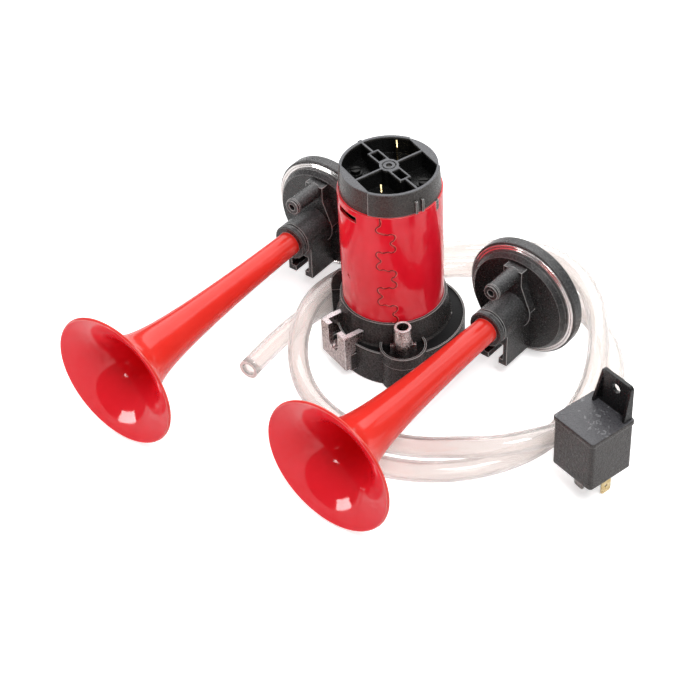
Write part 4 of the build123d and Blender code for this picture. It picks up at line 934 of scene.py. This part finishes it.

# The last colour is the faint painted highlight on the edges.
relay_black = moulding(
    "relay_moulding", (0.028, 0.024, 0.023), (0.064, 0.056, 0.053), 0.12 * MM, (0.30, 0.29, 0.28)
)
laid_over(relay_black, at_height(relay_black, LID_TOP, 0.1 * MM), (0.085, 0.084, 0.092))
laid_over(relay_black, between(relay_black, LID_TOP + 0.2 * MM, 99 * MM), (0.004, 0.004, 0.004))
tree = relay_black.node_tree
spots = combined(tree, noise(relay_black, SPOT), 0.60, "GREATER_THAN")
patches = combined(tree, noise(relay_black, PATCH, 1), 0.50, "GREATER_THAN")
lid = at_height(relay_black, LID_TOP, 0.1 * MM)
speckle = combined(tree, combined(tree, spots, patches, "MULTIPLY"), lid, "MULTIPLY")
laid_over(relay_black, speckle, (0.22, 0.22, 0.23))
relief(relay_black, noise(relay_black, SPOT), 0.6, 0.3 * MM)
print("relay:", relay_black.name)

# %% [markdown]
# ## Bare metals
#
# One helper makes them all: a colour that wanders between two tones, a gloss that wanders too,
# and a relief with its own grain. A stretched grain gives the fine lines of turned steel.

# %% Metal helper
def metal(name, dark, light, gloss, grain, height, stretch=(1, 1, 1)):
    """Bare metal between two tones, with a roughness range and a grain in metres."""
    material = finish(name, dark, gloss[0], 1.0)
    vary(material, "Base Color", noise(material, 2.5 * grain, 5, stretch), dark, light)
    vary(material, "Roughness", noise(material, 1.7 * grain, 4, stretch), *gloss)
    soften(material, 0.4 * MM)
    relief(material, noise(material, grain, 4, stretch), 0.5, height)
    return material


# %% [markdown]
# ## Cast metal of the pump
#
# The pump is a rough casting: blotchy and sandy, with painted highlights on its edges and painted
# shade in its corners. The tops of the bracket's arms and the rim of the nipple are painted pale,
# as painted highlights. They are less metallic too, so that they show their own colour more than
# the dim room.

# %% Cast metal
ARM_TOPS = 28.0 * MM
NIPPLE_RIM = {"low": 37.6 * MM, "high": 38.5 * MM}
PALE_SHARE = 0.7

cast = metal(
    "cast_aluminium",
    dark=(0.33, 0.27, 0.26),
    light=(0.64, 0.56, 0.55),
    gloss=(0.16, 0.46),
    grain=0.5 * MM,
    height=0.2 * MM,
)
# Painted highlights on the edges and painted shade in the corners.
edge_light_and_corner_shade(cast, (0.97, 0.95, 0.95), (0.14, 0.10, 0.10), 0.6 * MM)
arm_top_highlight = at_height(cast, ARM_TOPS, 0.05 * MM)
nipple_rim_highlight = between(cast, **NIPPLE_RIM)
# Painted highlights on the tops of the arms and on the nipple's rim.
laid_over(cast, arm_top_highlight, (0.74, 0.66, 0.67))
laid_over(cast, nipple_rim_highlight, (0.95, 0.94, 0.94))
tree = cast.node_tree
painted_highlights = combined(tree, arm_top_highlight, nipple_rim_highlight, "MAXIMUM")
painted_highlights = combined(tree, painted_highlights, PALE_SHARE, "MULTIPLY")
tree.links.new(combined(tree, 1.0, painted_highlights, "SUBTRACT"), shader_of(cast).inputs["Metallic"])
print("pump:", cast.name)

# %% [markdown]
# ## Clamp ring steel
#
# The rolled rings are polished. The long horn's ring is a plain mirror. The short horn's mirrors
# the red of its own trumpet, and a faint warm tint in its colour is a painted reflection of that
# red. It is a little less metallic too.

# %% Ring steel
mirror_steel = metal(
    "rolled_steel", (0.90, 0.86, 0.84), (0.97, 0.94, 0.92), (0.06, 0.12), 2.0 * MM, 0.01 * MM
)
# Warm tint: a painted reflection of the red trumpet.
reflection_tinted_steel = metal(
    "steel_with_painted_red", (0.95, 0.88, 0.86), (0.98, 0.94, 0.93), (0.11, 0.15), 2.0 * MM, 0.01 * MM
)
shader_of(reflection_tinted_steel).inputs["Metallic"].default_value = 0.85
clamp_rings["long"].data.materials.append(mirror_steel)
clamp_rings["short"].data.materials.append(reflection_tinted_steel)
print("rings:", mirror_steel.name, reflection_tinted_steel.name)

# %% [markdown]
# ## Small metal parts
#
# The rest are terminals, blades, bolts and bushes. Each row gives a dark and a light tone, the
# range of its roughness, its grain, the height of the grain, and a stretch where it has one.

# %% Small metals
SMALL_METALS = {
    "bright_steel": (
        (0.72, 0.70, 0.69), (0.90, 0.88, 0.87), (0.14, 0.26), 0.8 * MM, 0.02 * MM, (1, 1, 6)
    ),
    "black_steel": (
        (0.012, 0.012, 0.012), (0.03, 0.029, 0.028), (0.3, 0.45), 0.8 * MM, 0.05 * MM
    ),
    "copper": ((0.72, 0.30, 0.22), (0.90, 0.50, 0.40), (0.18, 0.32), 0.9 * MM, 0.03 * MM),
    "brass": ((0.72, 0.54, 0.26), (0.90, 0.74, 0.44), (0.2, 0.34), 0.8 * MM, 0.03 * MM),
    "tinned_brass": ((0.55, 0.52, 0.50), (0.80, 0.78, 0.76), (0.25, 0.4), 0.8 * MM, 0.04 * MM),
    "sintered_bronze": ((0.30, 0.19, 0.10), (0.52, 0.36, 0.20), (0.4, 0.6), 0.3 * MM, 0.08 * MM),
}
small_metals = {name: metal(name, *row) for name, row in SMALL_METALS.items()}
print("small metals:", list(small_metals))

# %% [markdown]
# ## What lies inside
#
# Nobody sees the magnets or the brushes in the closed set, but whoever opens the part should
# find each in its own stuff: grey ferrite, slick carbon, open foam, brown laminate. A row gives
# a dark and a light tone, the roughness, the grain and its height.

# %% Inside
INNER_SOLIDS = {
    "carbon": ((0.012, 0.012, 0.013), (0.03, 0.03, 0.032), 0.42, 0.6 * MM, 0.04 * MM),
    "ferrite": ((0.045, 0.045, 0.05), (0.085, 0.085, 0.09), 0.62, 0.5 * MM, 0.05 * MM),
    "filter_foam": ((0.02, 0.02, 0.02), (0.09, 0.09, 0.09), 0.92, 0.8 * MM, 0.5 * MM),
    "laminate_board": ((0.20, 0.095, 0.03), (0.32, 0.17, 0.06), 0.5, 1.2 * MM, 0.03 * MM),
}


def stone(name, dark, light, rough, grain, height):
    """Matt solid between two tones."""
    material = finish(name, dark, rough)
    vary(material, "Base Color", noise(material, 2 * grain, 5), dark, light)
    relief(material, noise(material, grain, 4), 0.5, height)
    return material


inner_solids = {name: stone(name, *row) for name, row in INNER_SOLIDS.items()}
print("inner solids:", list(inner_solids))

# %% [markdown]
# ## Dressing the CAD pieces
#
# Each CAD piece names the slot of its material, and a slot's finish goes to all its pieces. A
# few pieces then get a finish of their own: the cap and the base their own blends of black, the
# bolts black steel, and the relay's coil blades tin.

# %% Dressing
SLOT_FINISH = {
    "black_plastic": horn_black,
    "relay_plastic": relay_black,
    "red_paint": red_paint,
    "red_gloss": red_gloss,
    "cast_aluminium": cast,
    "steel": small_metals["bright_steel"],
    "copper": small_metals["copper"],
    "brass": small_metals["brass"],
    "sintered_bronze": small_metals["sintered_bronze"],
    "clear_hose": vinyl,
    **inner_solids,
}


def dress(material, *names):
    """Give a material to CAD pieces."""
    for name in names:
        mesh = nodes[name].data
        mesh.materials.clear()
        mesh.materials.append(material)


for part in frame["record"]["subparts"]:
    dress(SLOT_FINISH[part["material_slot"]], part["node"])
dress(cap_black, "motor_end_cap")
dress(base_black, "base_housing")
dress(small_metals["black_steel"], "through_bolts")
dress(small_metals["tinned_brass"], "relay_blade_coil_left", "relay_blade_coil_right")

# %% [markdown]
# ## Paint on the seam
#
# The dark line is the shaded side of the joint and the bright one the side that catches the
# light, both still red.

# %% Seam paint
SEAM_TONES = {
    "seam_line": ((0.07, 0.002, 0.003), (0.34, 0.008, 0.012)),
    "seam_glint": ((0.88, 0.05, 0.05), (0.95, 0.26, 0.23)),
}
for name, line in seam.items():
    paint = finish(f"{name}_paint", SEAM_TONES[name][0], 0.14)
    vary(paint, "Base Color", noise(paint, 2.2 * MM, 3), *SEAM_TONES[name])
    line.data.materials.clear()
    line.data.materials.append(paint)
print("seam paints:", [line.data.materials[0].name for line in seam.values()])
